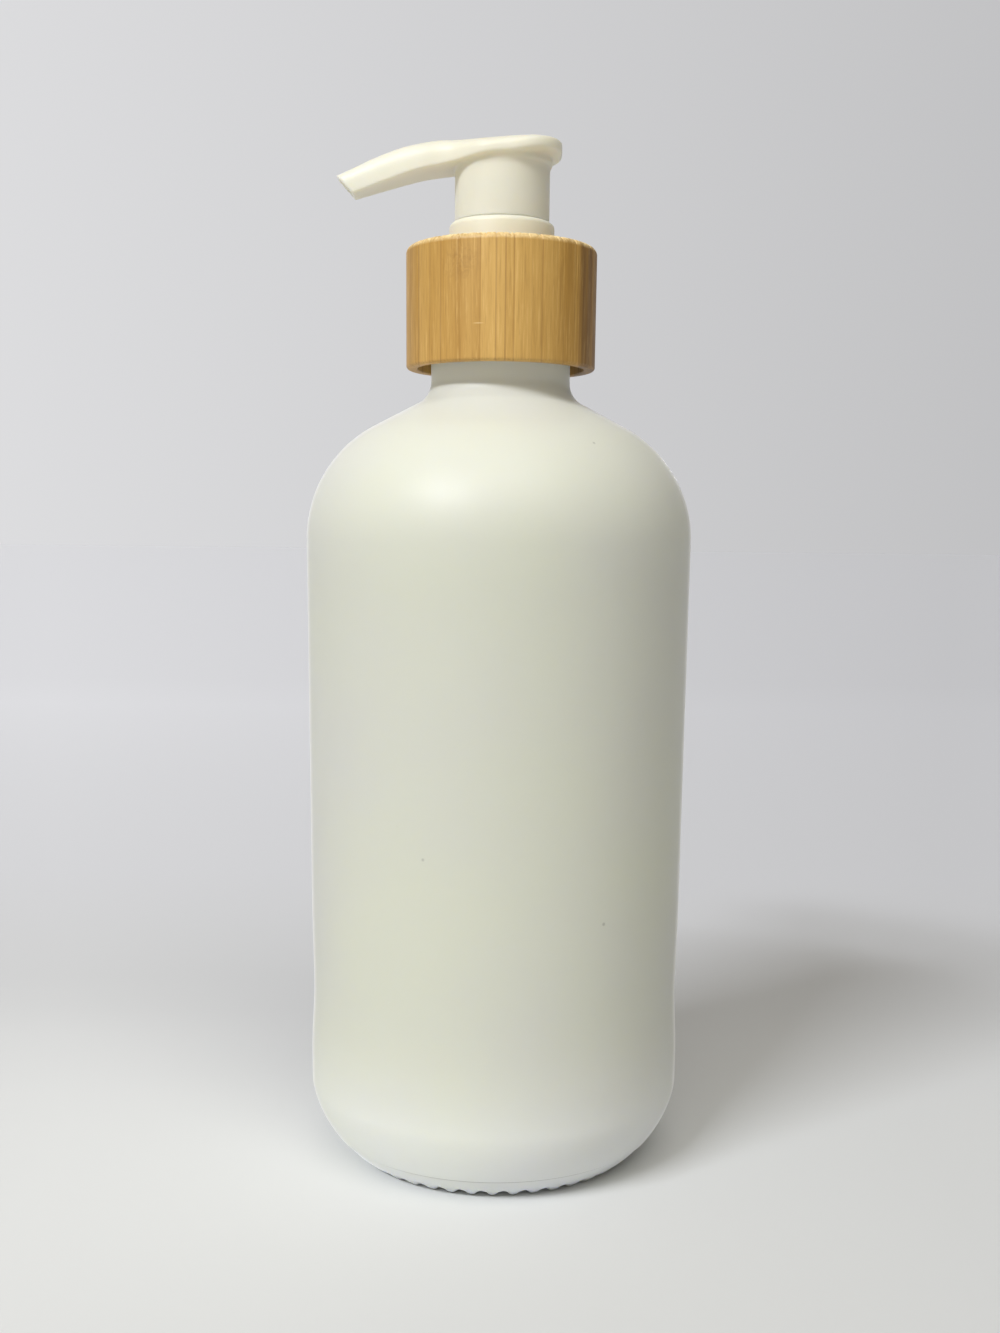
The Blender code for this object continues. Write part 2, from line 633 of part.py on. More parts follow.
def make_spring():
    """A compression spring at its locked-down length, its end turns close to flat."""
    coil_radius = BARREL_BORE - SPRING_PLAY - SPRING_WIRE_RADIUS
    points_per_turn = 10
    count = SPRING_TURNS * points_per_turn
    low = SPRING_Z + SPRING_WIRE_RADIUS
    high = SPRING_TOP - SPRING_WIRE_RADIUS
    path = []
    for step in range(count + 1):
        angle = 2 * math.pi * step / points_per_turn
        path.append((coil_radius * math.cos(angle), coil_radius * math.sin(angle),
                     low + (high - low) * step / count))
    half_turn = points_per_turn // 2
    nearest = min(math.dist(path[first], path[later]) for first in range(count + 1)
                  for later in range(first + half_turn, count + 1))
    print(f"return_spring: least gap between turns {nearest - 2 * SPRING_WIRE_RADIUS:.5f} m")
    curve = bpy.data.curves.new("return_spring", "CURVE")
    curve.dimensions = "3D"
    curve.bevel_depth = SPRING_WIRE_RADIUS
    curve.bevel_resolution = 1
    curve.use_fill_caps = True
    spline = curve.splines.new("POLY")
    spline.points.add(count)
    for point, place_at in zip(spline.points, path):
        point.co = (*place_at, 1)
    spring = bpy.data.objects.new("return_spring", curve)
    bpy.context.scene.collection.objects.link(spring)
    return place(spring, STEEL)


def make_piston():
    bore = CORE_RADIUS + GAP
    waist = PISTON_RADIUS - PISTON_GROOVE
    profile = [(bore, PISTON_TOP), (PISTON_RADIUS - PISTON_GROOVE / 2, PISTON_TOP),
               (PISTON_RADIUS, PISTON_TOP - PISTON_LIP / 3),
               (PISTON_RADIUS, PISTON_TOP - PISTON_LIP), (waist, PISTON_TOP - 2 * PISTON_LIP),
               (waist, PISTON_Z + 2 * PISTON_LIP), (PISTON_RADIUS, PISTON_Z + PISTON_LIP),
               (PISTON_RADIUS, PISTON_Z + PISTON_LIP / 3),
               (PISTON_RADIUS - PISTON_GROOVE / 2, PISTON_Z), (bore, PISTON_Z)]
    return place(turned("piston", profile, SMALL_STEPS, closed=True), SOFT_PLASTIC)


def make_piston_core():
    flange = PISTON_RADIUS - CORE_FLANGE_PLAY
    profile = [(CORE_BORE, SPIGOT_TOP), (SPIGOT_RADIUS, SPIGOT_TOP), (SPIGOT_RADIUS, PISTON_TOP),
               (CORE_RADIUS, PISTON_TOP), (CORE_RADIUS, CORE_FLANGE_TOP),
               (flange, CORE_FLANGE_TOP), (flange, CORE_Z), (CORE_BORE, CORE_Z)]
    return place(turned("piston_core", profile, SMALL_STEPS, closed=True), NATURAL_PLASTIC)


def make_stem():
    socket = SPIGOT_RADIUS + GAP
    chamber = OUTLET_BALL_RADIUS + CHAMBER_PLAY
    profile = [(chamber, STEM_TOP), (STEM_RADIUS, STEM_TOP), (STEM_RADIUS, STEM_Z),
               (socket, STEM_Z), (socket, SPIGOT_TOP + GAP), (STEM_BORE, SPIGOT_TOP + GAP),
               (STEM_BORE, CHAMBER_Z), (chamber, CHAMBER_Z)]
    return place(turned("stem", profile, SMALL_STEPS, closed=True), NATURAL_PLASTIC)


# Spout stations from the lobe to the tip: distance of the upper edge and of the lower edge
# from the pump's axis as shares of the reach, the drops of these edges below the lobe as
# shares of the drops at the tip, and the half width as a share of the way from tip to lobe
SPOUT_SHARES = (
    (0.10, 0.10, 0.05, 0.02, 0.93),
    (0.20, 0.20, 0.055, 0.04, 0.70),
    (0.29, 0.29, 0.045, 0.09, 0.46),
    (0.38, 0.375, 0.04, 0.17, 0.345),
    (0.49, 0.475, 0.12, 0.27, 0.31),
    (0.60, 0.575, 0.23, 0.42, 0.245),
    (0.70, 0.67, 0.39, 0.59, 0.175),
    (0.80, 0.755, 0.58, 0.74, 0.115),
    (0.90, 0.83, 0.80, 0.88, 0.05),
    (1.00, 0.895, 1.00, 1.00, 0.0),
)


# Sections round the lobe, from its back edge to its widest, in degrees from the back,
# and the power that rounds its edge: the lower, the fuller
LOBE_ANGLES = (10, 22, 36, 52, 68, 84)
LOBE_EDGE_POWER = 0.55


def head_stations():
    """Sections of the head from its back edge to the tip: half width, foot and top points."""
    stations = []
    middle = (LOBE_Z + LOBE_TOP) / 2
    back_lift_share = 0.04
    for degrees in LOBE_ANGLES:
        angle = math.radians(degrees)
        bulge = math.sin(angle) ** LOBE_EDGE_POWER
        x = LOBE_BACK * math.cos(angle)
        lift = LOBE_THICKNESS * back_lift_share * math.cos(angle)
        half_height = LOBE_THICKNESS / 2 * bulge
        stations.append((LOBE_HALF_WIDTH * math.sin(angle), (x, middle + lift - half_height),
                         (x, middle + lift + half_height)))
    for top_x, foot_x, top_drop, foot_drop, width in SPOUT_SHARES:
        half_width = TIP_HALF_WIDTH + (LOBE_HALF_WIDTH - TIP_HALF_WIDTH) * width
        foot = (-SPOUT_REACH * foot_x, LOBE_Z - TIP_FOOT_DROP * foot_drop)
        top = (-SPOUT_REACH * top_x, LOBE_TOP - TIP_TOP_DROP * top_drop)
        stations.append((half_width, foot, top))
    return stations


def section_ring(bm, half_width, foot, top):
    """One closed section: a crowned upper side over a flatter, square-edged underside."""
    wide_share = 0.34
    crown_power = 0.85
    foot_power = 0.5
    ring = []
    for step in range(SECTION_POINTS):
        angle = 2 * math.pi * step / SECTION_POINTS
        across = math.cos(angle)
        up = math.sin(angle)
        power = crown_power if up >= 0 else foot_power
        room = 1 - wide_share if up >= 0 else wide_share
        share = wide_share + math.copysign(abs(up) ** power, up) * room
        y = half_width * math.copysign(abs(across) ** power, across)
        ring.append(bm.verts.new((foot[0] + (top[0] - foot[0]) * share, y,
                                  foot[1] + (top[1] - foot[1]) * share)))
    return ring


def head_shell():
    bm = bmesh.new()
    rings = [section_ring(bm, *station) for station in head_stations()]
    for first, second in zip(rings, rings[1:]):
        for side in range(SECTION_POINTS):
            after = (side + 1) % SECTION_POINTS
            bm.faces.new((first[side], first[after], second[after], second[side]))
    bm.faces.new(rings[0])
    bm.faces.new(rings[-1])
    return mesh_object("pump_head", bm)


def channel_cutter():
    """The passage from over the stem to the tip, along the middle of the spout."""
    height_share = 0.47
    path = []
    for _, foot, top in head_stations()[len(LOBE_ANGLES):]:
        path.append(Vector((foot[0] + (top[0] - foot[0]) * height_share, 0,
                            foot[1] + (top[1] - foot[1]) * height_share)))
    path.insert(0, Vector((0, 0, path[0].z)))
    path.append(path[-1] + (path[-1] - path[-2]).normalized() * 2 * OVERRUN)
    curve = bpy.data.curves.new("channel_path", "CURVE")
    curve.dimensions = "3D"
    curve.bevel_depth = CHANNEL_RADIUS
    curve.bevel_resolution = 2
    curve.use_fill_caps = True
    spline = curve.splines.new("POLY")
    spline.points.add(len(path) - 1)
    for point, place_at in zip(spline.points, path):
        point.co = (*place_at, 1)
    guide = bpy.data.objects.new("channel_path", curve)
    bpy.context.scene.collection.objects.link(guide)
    bpy.context.view_layer.update()
    evaluated = guide.evaluated_get(bpy.context.evaluated_depsgraph_get())
    mesh = bpy.data.meshes.new_from_object(evaluated)
    tube = bpy.data.objects.new("channel_cutter", mesh)
    tube.matrix_world = guide.matrix_world
    bpy.context.scene.collection.objects.link(tube)
    bpy.data.objects.remove(guide, do_unlink=True)
    bm = bmesh.new()
    bm.from_mesh(mesh)
    bmesh.ops.remove_doubles(bm, verts=bm.verts, dist=GAP / 300)
    bmesh.ops.recalc_face_normals(bm, faces=bm.faces)
    bm.to_mesh(mesh)
    bm.free()
    return tube, path[0].z


def make_head():
    head = head_shell()
    inside = (LOBE_Z + LOBE_TOP) / 2
    sleeve_foot = GROOVE_FLOOR_Z + SLEEVE_LIFT
    cavity_top = SKIRT_Z + SKIRT_CAVITY_HEIGHT
    flare = SKIRT_FLARE
    profile = [(0, inside), (SKIRT_RADIUS + flare / 2, inside),
               (SKIRT_RADIUS + flare, LOBE_Z + flare / 2),
               (SKIRT_RADIUS + flare / 3, LOBE_Z - flare / 2),
               (SKIRT_RADIUS, LOBE_Z - 2 * flare), (SKIRT_RADIUS, SKIRT_Z),
               (SKIRT_INNER, SKIRT_Z), (SKIRT_INNER, cavity_top), (SLEEVE_RADIUS, cavity_top),
               (SLEEVE_RADIUS, sleeve_foot), (0, sleeve_foot)]
    boolean(head, turned("skirt_and_sleeve", profile, MID_STEPS, closed=False), "UNION")
    lug_top = LEDGE_UNDER_Z - GAP
    lug_tip = math.sqrt(LUG_RADIUS ** 2 - (LUG_WIDTH / 2) ** 2)
    lugs = block("lock_lugs", (LUG_WIDTH, 2 * lug_tip, LUG_HEIGHT),
                 (0, 0, lug_top - LUG_HEIGHT / 2))
    boolean(head, lugs, "UNION")
    boolean(head, rod("stem_socket", SOCKET_RADIUS, sleeve_foot - OVERRUN, SOCKET_TOP),
            "DIFFERENCE")
    channel, channel_z = channel_cutter()
    boolean(head, channel, "DIFFERENCE")
    boolean(head, rod("riser", CHANNEL_RADIUS, SOCKET_TOP - OVERRUN, channel_z, steps=12),
            "DIFFERENCE")
    notch = 2 * OUTLET_BALL_RADIUS
    for name, size in (("notch_x", (notch, BALL_NOTCH_WIDTH)),
                       ("notch_y", (BALL_NOTCH_WIDTH, notch))):
        cut = block(name, (*size, 2 * BALL_NOTCH_DEPTH), (0, 0, SOCKET_TOP))
        boolean(head, cut, "DIFFERENCE")
    head.data.shade_smooth()
    return place(head, CREAM_PLASTIC)


def sharpen(thing):
    """Keep round faces smooth and real edges crisp."""
    if thing.type == "MESH":
        thing.data.set_sharp_from_angle(angle=math.radians(35))


make_bottle()
make_gasket()
make_closure()
make_collar()
make_lock_ring()
make_wiper()
make_barrel()
make_cage()
ball("inlet_ball", INLET_BALL_RADIUS,
     seated_ball_z(INLET_SEAT_Z, INLET_BALL_RADIUS, INLET_SEAT_RADIUS), GLASS_BALL)
make_dip_tube()
make_spring()
make_piston()
make_piston_core()
make_stem()
ball("outlet_ball", OUTLET_BALL_RADIUS,
     seated_ball_z(CHAMBER_Z, OUTLET_BALL_RADIUS, STEM_BORE), GLASS_BALL)
make_head()
for part in PARTS.objects:
    sharpen(part)
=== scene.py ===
import math

import bmesh
import bpy
import numpy as np
from mathutils import Matrix, Vector


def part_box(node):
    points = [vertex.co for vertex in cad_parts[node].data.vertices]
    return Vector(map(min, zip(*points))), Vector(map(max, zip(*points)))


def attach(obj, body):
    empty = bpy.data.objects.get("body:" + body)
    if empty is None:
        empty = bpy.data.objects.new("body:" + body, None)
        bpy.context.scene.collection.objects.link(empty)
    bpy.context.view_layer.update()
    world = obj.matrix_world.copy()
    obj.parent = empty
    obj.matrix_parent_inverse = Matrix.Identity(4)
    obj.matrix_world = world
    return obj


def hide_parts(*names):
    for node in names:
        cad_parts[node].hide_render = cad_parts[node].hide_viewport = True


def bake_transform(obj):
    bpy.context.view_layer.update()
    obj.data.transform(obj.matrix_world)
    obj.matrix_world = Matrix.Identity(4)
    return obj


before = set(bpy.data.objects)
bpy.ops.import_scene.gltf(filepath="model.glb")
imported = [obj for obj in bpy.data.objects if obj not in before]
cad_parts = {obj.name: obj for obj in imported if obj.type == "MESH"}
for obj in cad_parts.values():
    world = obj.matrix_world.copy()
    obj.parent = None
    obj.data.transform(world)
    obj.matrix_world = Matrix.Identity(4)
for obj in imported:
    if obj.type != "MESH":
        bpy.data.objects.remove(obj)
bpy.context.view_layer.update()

# Bottle: half-litre round bottle of soda-lime glass, blown in a mould and etched outside
# until it looks milky. It stands on a fluted ring; a fine step round the heel shows where
# the mould's base plate met its sides, and the neck ends in a single-start thread.
BODY_RADIUS = 0.0374
BEARING_RADIUS = 0.0278
BEARING_WIDTH = 0.0026
PUSH_UP = 0.0025
HEEL_HEIGHT = 0.0159
HEEL_BULGE = 0.0004
HEEL_BAND = 0.0052
HEEL_SHARES = ((1, 1), (1, 0.71), (0.585, 0.197), (0, 0))
WAIST_DEPTH = 0.0002
WAIST_RISE = 0.0149
PANEL_BLEND = 0.016
PANEL_HEIGHT = 0.0726
SHOULDER_RADIUS = 0.0242
SHOULDER_SWEEP = math.radians(62.7)
NECK_FILLET = 0.0046
NECK_LENGTH = 0.0045
GLASS_WALL = 0.0026
BASE_THICKNESS = 0.004
INNER_HEEL_RADIUS = 0.012
BORE_RADIUS = 0.0092
ROOT_RADIUS = 0.01245
NECK_STEP = 0.00085
RIM_ROUND = 0.0006
FLUTE_COUNT = 44
FLUTE_POINTS = 8
FLUTE_DEPTH = 0.00105
FLUTE_LENGTH = 0.008
FLUTE_TILT = math.radians(20)
FLUTE_FILL_SHARE = 0.48
FLUTE_SOFTNESS = 0.0001
PARTING_SHARE = 0.635
PARTING_STEP = 0.00015
THREAD_DEPTH = 0.00125
THREAD_LEAD = 0.00423
THREAD_TURNS = 1.25
THREAD_START = 0.0021
THREAD_CREST = 0.001
THREAD_FOOT = 0.0022
THREAD_FADE_SHARE = 1 / 6
FINISH_HEIGHT = 0.0104
RIM_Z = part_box("bottle")[1].z
LEDGE_Z = RIM_Z - FINISH_HEIGHT
FILLET_TOP = LEDGE_Z - NECK_LENGTH
FLOOR_Z = PUSH_UP + BASE_THICKNESS
WAIST_Z = HEEL_HEIGHT + HEEL_BAND + WAIST_RISE
PANEL_START = WAIST_Z + PANEL_BLEND
SHOULDER_START = PANEL_START + PANEL_HEIGHT
CREASE = math.radians(32)
JOIN_DISTANCE = 1e-7
# How far a noise texture's values reach about their middle
NOISE_SPREAD = (0.35, 0.65)


def arc(centre_r, centre_z, radius, start, stop, count):
    """Profile points along an arc, both ends included; angles in degrees."""
    turns = np.radians(np.linspace(start, stop, count + 1))
    return [(centre_r + radius * math.cos(turn), centre_z + radius * math.sin(turn)) for turn in turns]


def eased(start, stop, count):
    """Profile points on an S-curve from start to stop, the first one left out."""
    points = []
    for share in np.linspace(0, 1, count + 1)[1:]:
        ease = share * share * (3 - 2 * share)
        points.append((start[0] + (stop[0] - start[0]) * ease, start[1] + (stop[1] - start[1]) * share))
    return points


def heel_point(t):
    """A point on the heel's curve, from the band above it (t = 0) to the bearing ring (t = 1)."""
    reach = BODY_RADIUS + HEEL_BULGE - BEARING_RADIUS
    corners = [np.array((BEARING_RADIUS + reach * out, HEEL_HEIGHT * up)) for out, up in HEEL_SHARES]
    return (corners[0] * (1 - t) ** 3 + corners[1] * 3 * t * (1 - t) ** 2
            + corners[2] * 3 * t * t * (1 - t) + corners[3] * t ** 3)


def heel_curve():
    """The heel down to the bearing ring, set in by a hair below the parting line."""
    step_share = 0.012
    shares = np.concatenate([np.linspace(0, PARTING_SHARE - step_share, 26),
                             np.linspace(PARTING_SHARE, PARTING_SHARE + step_share, 4),
                             np.linspace(PARTING_SHARE + 2 * step_share, 1, 34)])
    points = []
    for t in shares:
        spot = heel_point(t)
        below = min(1, max(0, (t - PARTING_SHARE) / step_share))
        fade = 1 - (t - PARTING_SHARE) / (1 - PARTING_SHARE)
        groove = max(0, 1 - abs(t - PARTING_SHARE) / step_share)
        inset = PARTING_STEP * (below * max(0, fade) + groove)
        points.append((spot[0] - inset, spot[1] + inset))
    return points


def bottle_profile():
    """The glass section from the middle of the inner floor up, over the rim and down."""
    sweep = math.degrees(SHOULDER_SWEEP)
    centre_r = BODY_RADIUS - SHOULDER_RADIUS
    inner_r = BODY_RADIUS - GLASS_WALL
    points = [(0, FLOOR_Z), (inner_r / 4, FLOOR_Z)]
    points += arc(inner_r - INNER_HEEL_RADIUS, BASE_THICKNESS + INNER_HEEL_RADIUS, INNER_HEEL_RADIUS,
                  -90, 0, 12)
    points += arc(centre_r, SHOULDER_START, SHOULDER_RADIUS - GLASS_WALL, 0, sweep, 14)
    points += reversed(arc(BORE_RADIUS + NECK_FILLET, FILLET_TOP, NECK_FILLET, 180, 180 + sweep, 6))
    points += arc(BORE_RADIUS + RIM_ROUND, RIM_Z - RIM_ROUND, RIM_ROUND, 180, 90, 4)
    points += arc(ROOT_RADIUS - RIM_ROUND, RIM_Z - RIM_ROUND, RIM_ROUND, 90, 0, 4)
    finish_foot = LEDGE_Z + NECK_STEP
    points += [(ROOT_RADIUS, z) for z in np.linspace(RIM_Z - RIM_ROUND, finish_foot, 46)[1:]]
    neck_r = ROOT_RADIUS + NECK_STEP
    points += eased((ROOT_RADIUS, finish_foot), (neck_r, LEDGE_Z), 4)
    points += arc(neck_r + NECK_FILLET, FILLET_TOP, NECK_FILLET, 180, 180 + sweep, 10)
    points += reversed(arc(centre_r, SHOULDER_START, SHOULDER_RADIUS, 0, sweep, 34))
    points += [(BODY_RADIUS, z) for z in np.linspace(SHOULDER_START, PANEL_START, 9)[1:]]
    waist = (BODY_RADIUS - WAIST_DEPTH, WAIST_Z)
    band = (BODY_RADIUS + HEEL_BULGE, HEEL_HEIGHT + HEEL_BAND)
    points += eased((BODY_RADIUS, PANEL_START), waist, 8)
    points += eased(waist, band, 10)
    points += heel_curve()
    bearing_inner = BEARING_RADIUS - BEARING_WIDTH
    for share in np.linspace(1, 0, 12):
        points.append((bearing_inner * share, PUSH_UP * (1 - share ** 2)))
    return points


def flute_angles():
    """Columns round the bottle, closest together at the cusps between the flutes."""
    pitch = 2 * math.pi / FLUTE_COUNT
    steps = (1 - np.cos(np.pi * np.arange(FLUTE_POINTS) / FLUTE_POINTS)) / 2
    return (pitch * (np.arange(FLUTE_COUNT)[:, None] + steps[None, :])).ravel()


def threaded(radius, height, angles, start_z, start_angle, reach):
    """How far the thread stands out at each point: reach at its crest, none beside it."""
    stand = np.zeros_like(radius)
    for lap in range(3):
        turn = (angles - start_angle) / (2 * math.pi) % 1 + lap - 1
        middle = start_z + THREAD_LEAD * turn
        ends = np.clip(np.minimum(turn, THREAD_TURNS - turn) / THREAD_FADE_SHARE, 0, 1)
        flank = (THREAD_FOOT - THREAD_CREST) / 2
        section = np.clip((THREAD_FOOT / 2 - np.abs(height - middle)) / flank, 0, 1)
        stand = np.maximum(stand, section * ends)
    return stand * reach


def shape_bottle(radius, height, angles):
    """Raise the thread on the finish, and scoop the flutes out of the bearing edge."""
    on_finish = (np.abs(radius - ROOT_RADIUS) < GLASS_WALL / 100) & (height > LEDGE_Z)
    ridge = threaded(radius, height, angles, LEDGE_Z + THREAD_START, 0, THREAD_DEPTH)
    radius = np.where(on_finish, radius + ridge, radius)
    pitch = 2 * math.pi / FLUTE_COUNT
    off = (angles % pitch) - pitch / 2
    along = radius * np.cos(off) - BEARING_RADIUS
    across = radius * np.sin(off)
    inner = BEARING_RADIUS - BEARING_WIDTH / 2
    small = inner * pitch * FLUTE_FILL_SHARE
    large = (inner + FLUTE_LENGTH) * pitch * FLUTE_FILL_SHARE
    spread = (along / math.cos(FLUTE_TILT) + BEARING_WIDTH / 2) / FLUTE_LENGTH
    rod = small + (large - small) * spread
    middle = FLUTE_DEPTH - (small + large) / 2 + along * math.tan(FLUTE_TILT)
    roof = middle + np.sqrt(np.maximum(rod ** 2 - across ** 2, 0)) / math.cos(FLUTE_TILT)
    inward = np.clip((along + BEARING_WIDTH) / BEARING_WIDTH * 2, 0, 1)
    roof = roof * inward - FLUTE_SOFTNESS
    near = np.maximum(FLUTE_SOFTNESS - np.abs(height - roof), 0) / FLUTE_SOFTNESS
    scooped = np.maximum(height, roof) + near ** 2 * FLUTE_SOFTNESS / 4
    in_reach = (height < FLOOR_Z) & (along > -BEARING_WIDTH)
    return radius, np.where(in_reach, scooped, height)


def placed(name, data):
    """An object for a mesh, a lamp or a camera, put in the scene."""
    made = bpy.data.objects.new(name, data)
    bpy.context.scene.collection.objects.link(made)
    return made


def shade(mesh, crease=CREASE):
    """Smooth shading, broken at edges sharper than the crease angle."""
    mesh.shade_smooth()
    mesh.set_sharp_from_angle(angle=crease)


def net(rows, columns, closed=False, capped=False):
    """The faces of a net of points, joined round each row and from row to row."""
    faces = []
    for row in range(rows if closed else rows - 1):
        here, below = row * columns, (row + 1) % rows * columns
        for column in range(columns):
            after = (column + 1) % columns
            faces.append((here + column, below + column, below + after, here + after))
    if capped:
        faces += [tuple(range(columns)), tuple(range((rows - 1) * columns, rows * columns))]
    return faces


def skinned(name, spots, faces, crease=CREASE):
    """An object from points and faces, with doubled points joined and faces turned outward."""
    mesh = bpy.data.meshes.new(name)
    mesh.from_pydata(spots, [], faces)
    work = bmesh.new()
    work.from_mesh(mesh)
    bmesh.ops.remove_doubles(work, verts=work.verts, dist=JOIN_DISTANCE)
    bmesh.ops.recalc_face_normals(work, faces=work.faces)
    work.to_mesh(mesh)
    work.free()
    shade(mesh, crease)
    return placed(name, mesh)


def turned(name, profile, angles, shape=None, closed=False):
    """A mesh turned about Z from (radius, height) points, its outer side from top to bottom."""
    radius, height = (column[:, None] * np.ones(len(angles)) for column in np.array(profile).T)
    if shape:
        radius, height = shape(radius, height, angles[None, :])
    spots = np.stack([radius * np.cos(angles), radius * np.sin(angles), height], axis=-1)
    return skinned(name, spots.reshape(-1, 3).tolist(), net(*radius.shape, closed))


def hex_colour(code):
    """A linear colour from an sRGB hex code."""
    channels = [int(code[at:at + 2], 16) / 255 for at in (1, 3, 5)]
    linear = [c / 12.92 if c <= 0.04045 else ((c + 0.055) / 1.055) ** 2.4 for c in channels]
    return (*linear, 1)


def feed(node, inputs):
    """Set sockets, by name or in a row from the first, each to a value or the output that feeds it."""
    for socket, value in inputs.items() if isinstance(inputs, dict) else enumerate(inputs):
        if isinstance(value, bpy.types.NodeSocket):
            node.id_data.links.new(value, node.inputs[socket])
        else:
            node.inputs[socket].default_value = value


def add(tree, kind, inputs=(), out=0, **settings):
    """Add a node, set it up, feed it and give back one of its outputs. A MapRange is fed its
    value, the range that comes in and the range that goes out."""
    made = tree.nodes.new("ShaderNode" + kind)
    for setting, value in settings.items():
        setattr(made, setting, value)
    feed(made, inputs)
    return made.outputs[out]


def new_material(name):
    """A material, its node tree, its Principled shader and the place on the piece in metres."""
    made = bpy.data.materials.new(name)
    made.use_nodes = True
    tree = made.node_tree
    return made, tree, tree.nodes["Principled BSDF"], add(tree, "TexCoord", out="Object")


def etched_glass():
    """Soda-lime glass etched outside: milky, with a soft sheen and light that soaks in; painted light and
    shade on foot, shoulder, rim and parting line.
    """
    milky, solid = hex_colour("#cfd1c5"), hex_colour("#eaede8")
    dark, white = hex_colour("#8b8c82"), hex_colour("#ffffff")
    warm_cloud, cool_cloud = (1.0, 1.0, 0.96, 1.0), (0.975, 0.965, 1.0, 1.0)
    cloud_size = 0.045
    etch_grain = 0.00035
    speck_size, speck_spacing = 0.00022, 0.016
    speck_share = speck_size / speck_spacing
    parting_width = 0.00012
    parting_z = float(heel_point(PARTING_SHARE)[1])
    foot_glow_below = 2.1 * HEEL_HEIGHT
    shoulder_light_from, shoulder_light_to = SHOULDER_START - 0.01, SHOULDER_START + SHOULDER_RADIUS
    rim_from, rim_to = 0.84, 0.95
    speck_strength, parting_shade_strength, painted_rim_strength = 0.5, 0.55, 0.7
    made, tree, shader, where = new_material("soda_lime_glass_etched")
    height = add(tree, "SeparateXYZ", [where], "Z")
    # Painted light: near the foot the milky colour turns to the paler, cooler solid colour, for the light
    # that the thick glass there lets through from the floor.
    foot_glow = add(tree, "MapRange", [height, foot_glow_below, 0.0], interpolation_type="SMOOTHSTEP")
    glowing_foot = add(tree, "Mix", {0: foot_glow, 6: milky, 7: solid}, 2, data_type="RGBA")
    # Painted light: the shoulder is painted up to a quarter brighter, for the light it catches where it
    # turns upward.
    shoulder_light = add(tree, "MapRange", [height, shoulder_light_from, shoulder_light_to, 1.0, 1.24],
                interpolation_type="SMOOTHSTEP")
    toned = add(tree, "VectorMath", {0: glowing_foot, "Scale": shoulder_light}, operation="SCALE")
    clouds = add(tree, "TexNoise", {"Vector": where, "Scale": 1 / cloud_size})
    cloudy = add(tree, "MapRange", [clouds, *NOISE_SPREAD])
    hue = add(tree, "Mix", {0: cloudy, 6: warm_cloud, 7: cool_cloud}, 2, data_type="RGBA")
    colour = add(tree, "VectorMath", [toned, hue], operation="MULTIPLY")
    cells = add(tree, "TexVoronoi", {"Vector": where, "Scale": 1 / speck_spacing})
    speck = add(tree, "MapRange", [cells, speck_share, 2 * speck_share, speck_strength, 0.0])
    # Painted shade: a thin dark line on the parting step round the heel, where the step is in shade.
    line = add(tree, "Math", [height, parting_z, parting_width], operation="COMPARE")
    parting_shade = add(tree, "Math", [line, parting_shade_strength], operation="MULTIPLY")
    # Painted highlight: the colour turns toward white where the surface turns edge-on, a bright rim of
    # glancing light along the outline.
    facing = add(tree, "LayerWeight", {"Blend": 0.5}, "Facing")
    rim = add(tree, "MapRange", [facing, rim_from, rim_to, 0.0, painted_rim_strength])
    for share, layer in ((speck, dark), (parting_shade, dark), (rim, white)):
        colour = add(tree, "Mix", {0: share, 6: colour, 7: layer}, 2, data_type="RGBA")
    grain = add(tree, "TexNoise", {"Vector": where, "Scale": 1 / etch_grain, "Detail": 3.0})
    rough = add(tree, "MapRange", {0: grain, 3: 0.4, 4: 0.48})
    bump = add(tree, "Bump", {"Height": grain, "Strength": 0.12, "Distance": etch_grain / 4})
    soak = add(tree, "MapRange", [height, 0.002, 0.006, 0.9, 0.35])
    feed(shader, {"Base Color": colour, "Roughness": rough, "Normal": bump, "IOR": 1.52,
                  "Specular IOR Level": 0.4, "Sheen Weight": 0.4, "Sheen Roughness": 0.2,
                  "Subsurface Weight": soak, "Subsurface Radius": (1.0, 0.9, 0.6),
                  "Subsurface Scale": 0.006})
    return made


def seat(thing, finish, body, node):
    """Give a piece its finish and its body, in place of the CAD solid of the same piece."""
    thing.data.materials.clear()
    thing.data.materials.append(finish)
    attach(thing, body)
    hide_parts(node)


frosted_bottle = turned("frosted_bottle", bottle_profile(), flute_angles(), shape_bottle)
seat(frosted_bottle, etched_glass(), "bottle", "bottle")

# Bottle gasket: a punched ring of closed-cell polyethylene foam, laid on the rim and
# pressed flat by the barrel's flange when the closure is screwed down.
GASKET_ROUND = 0.0002


def around(count):
    """Evenly spaced columns for a turned mesh."""
    return 2 * math.pi * np.arange(count) / count


def rounded(corners, steps=4):
    """A closed profile from corners (radius, height, rounding), each turned into an arc."""
    points = []
    for index, (r, z, rounding) in enumerate(corners):
        here = Vector((r, z))
        if not rounding:
            points.append((r, z))
            continue
        back = (Vector(corners[index - 1][:2]) - here).normalized()
        on = (Vector(corners[(index + 1) % len(corners)][:2]) - here).normalized()
        half = back.angle(on) / 2
        centre = here + (back + on).normalized() * rounding / math.sin(half)
        first = here + back * rounding / math.tan(half) - centre
        last = here + on * rounding / math.tan(half) - centre
        for step in range(steps + 1):
            swing = first.lerp(last, step / steps).normalized() * rounding
            points.append(tuple(centre + swing))
    return points


def moulded(name, corners, columns=80, steps=4):
    """A turned piece from a closed profile of rounded corners."""
    return turned(name, rounded(corners, steps), around(columns), closed=True)


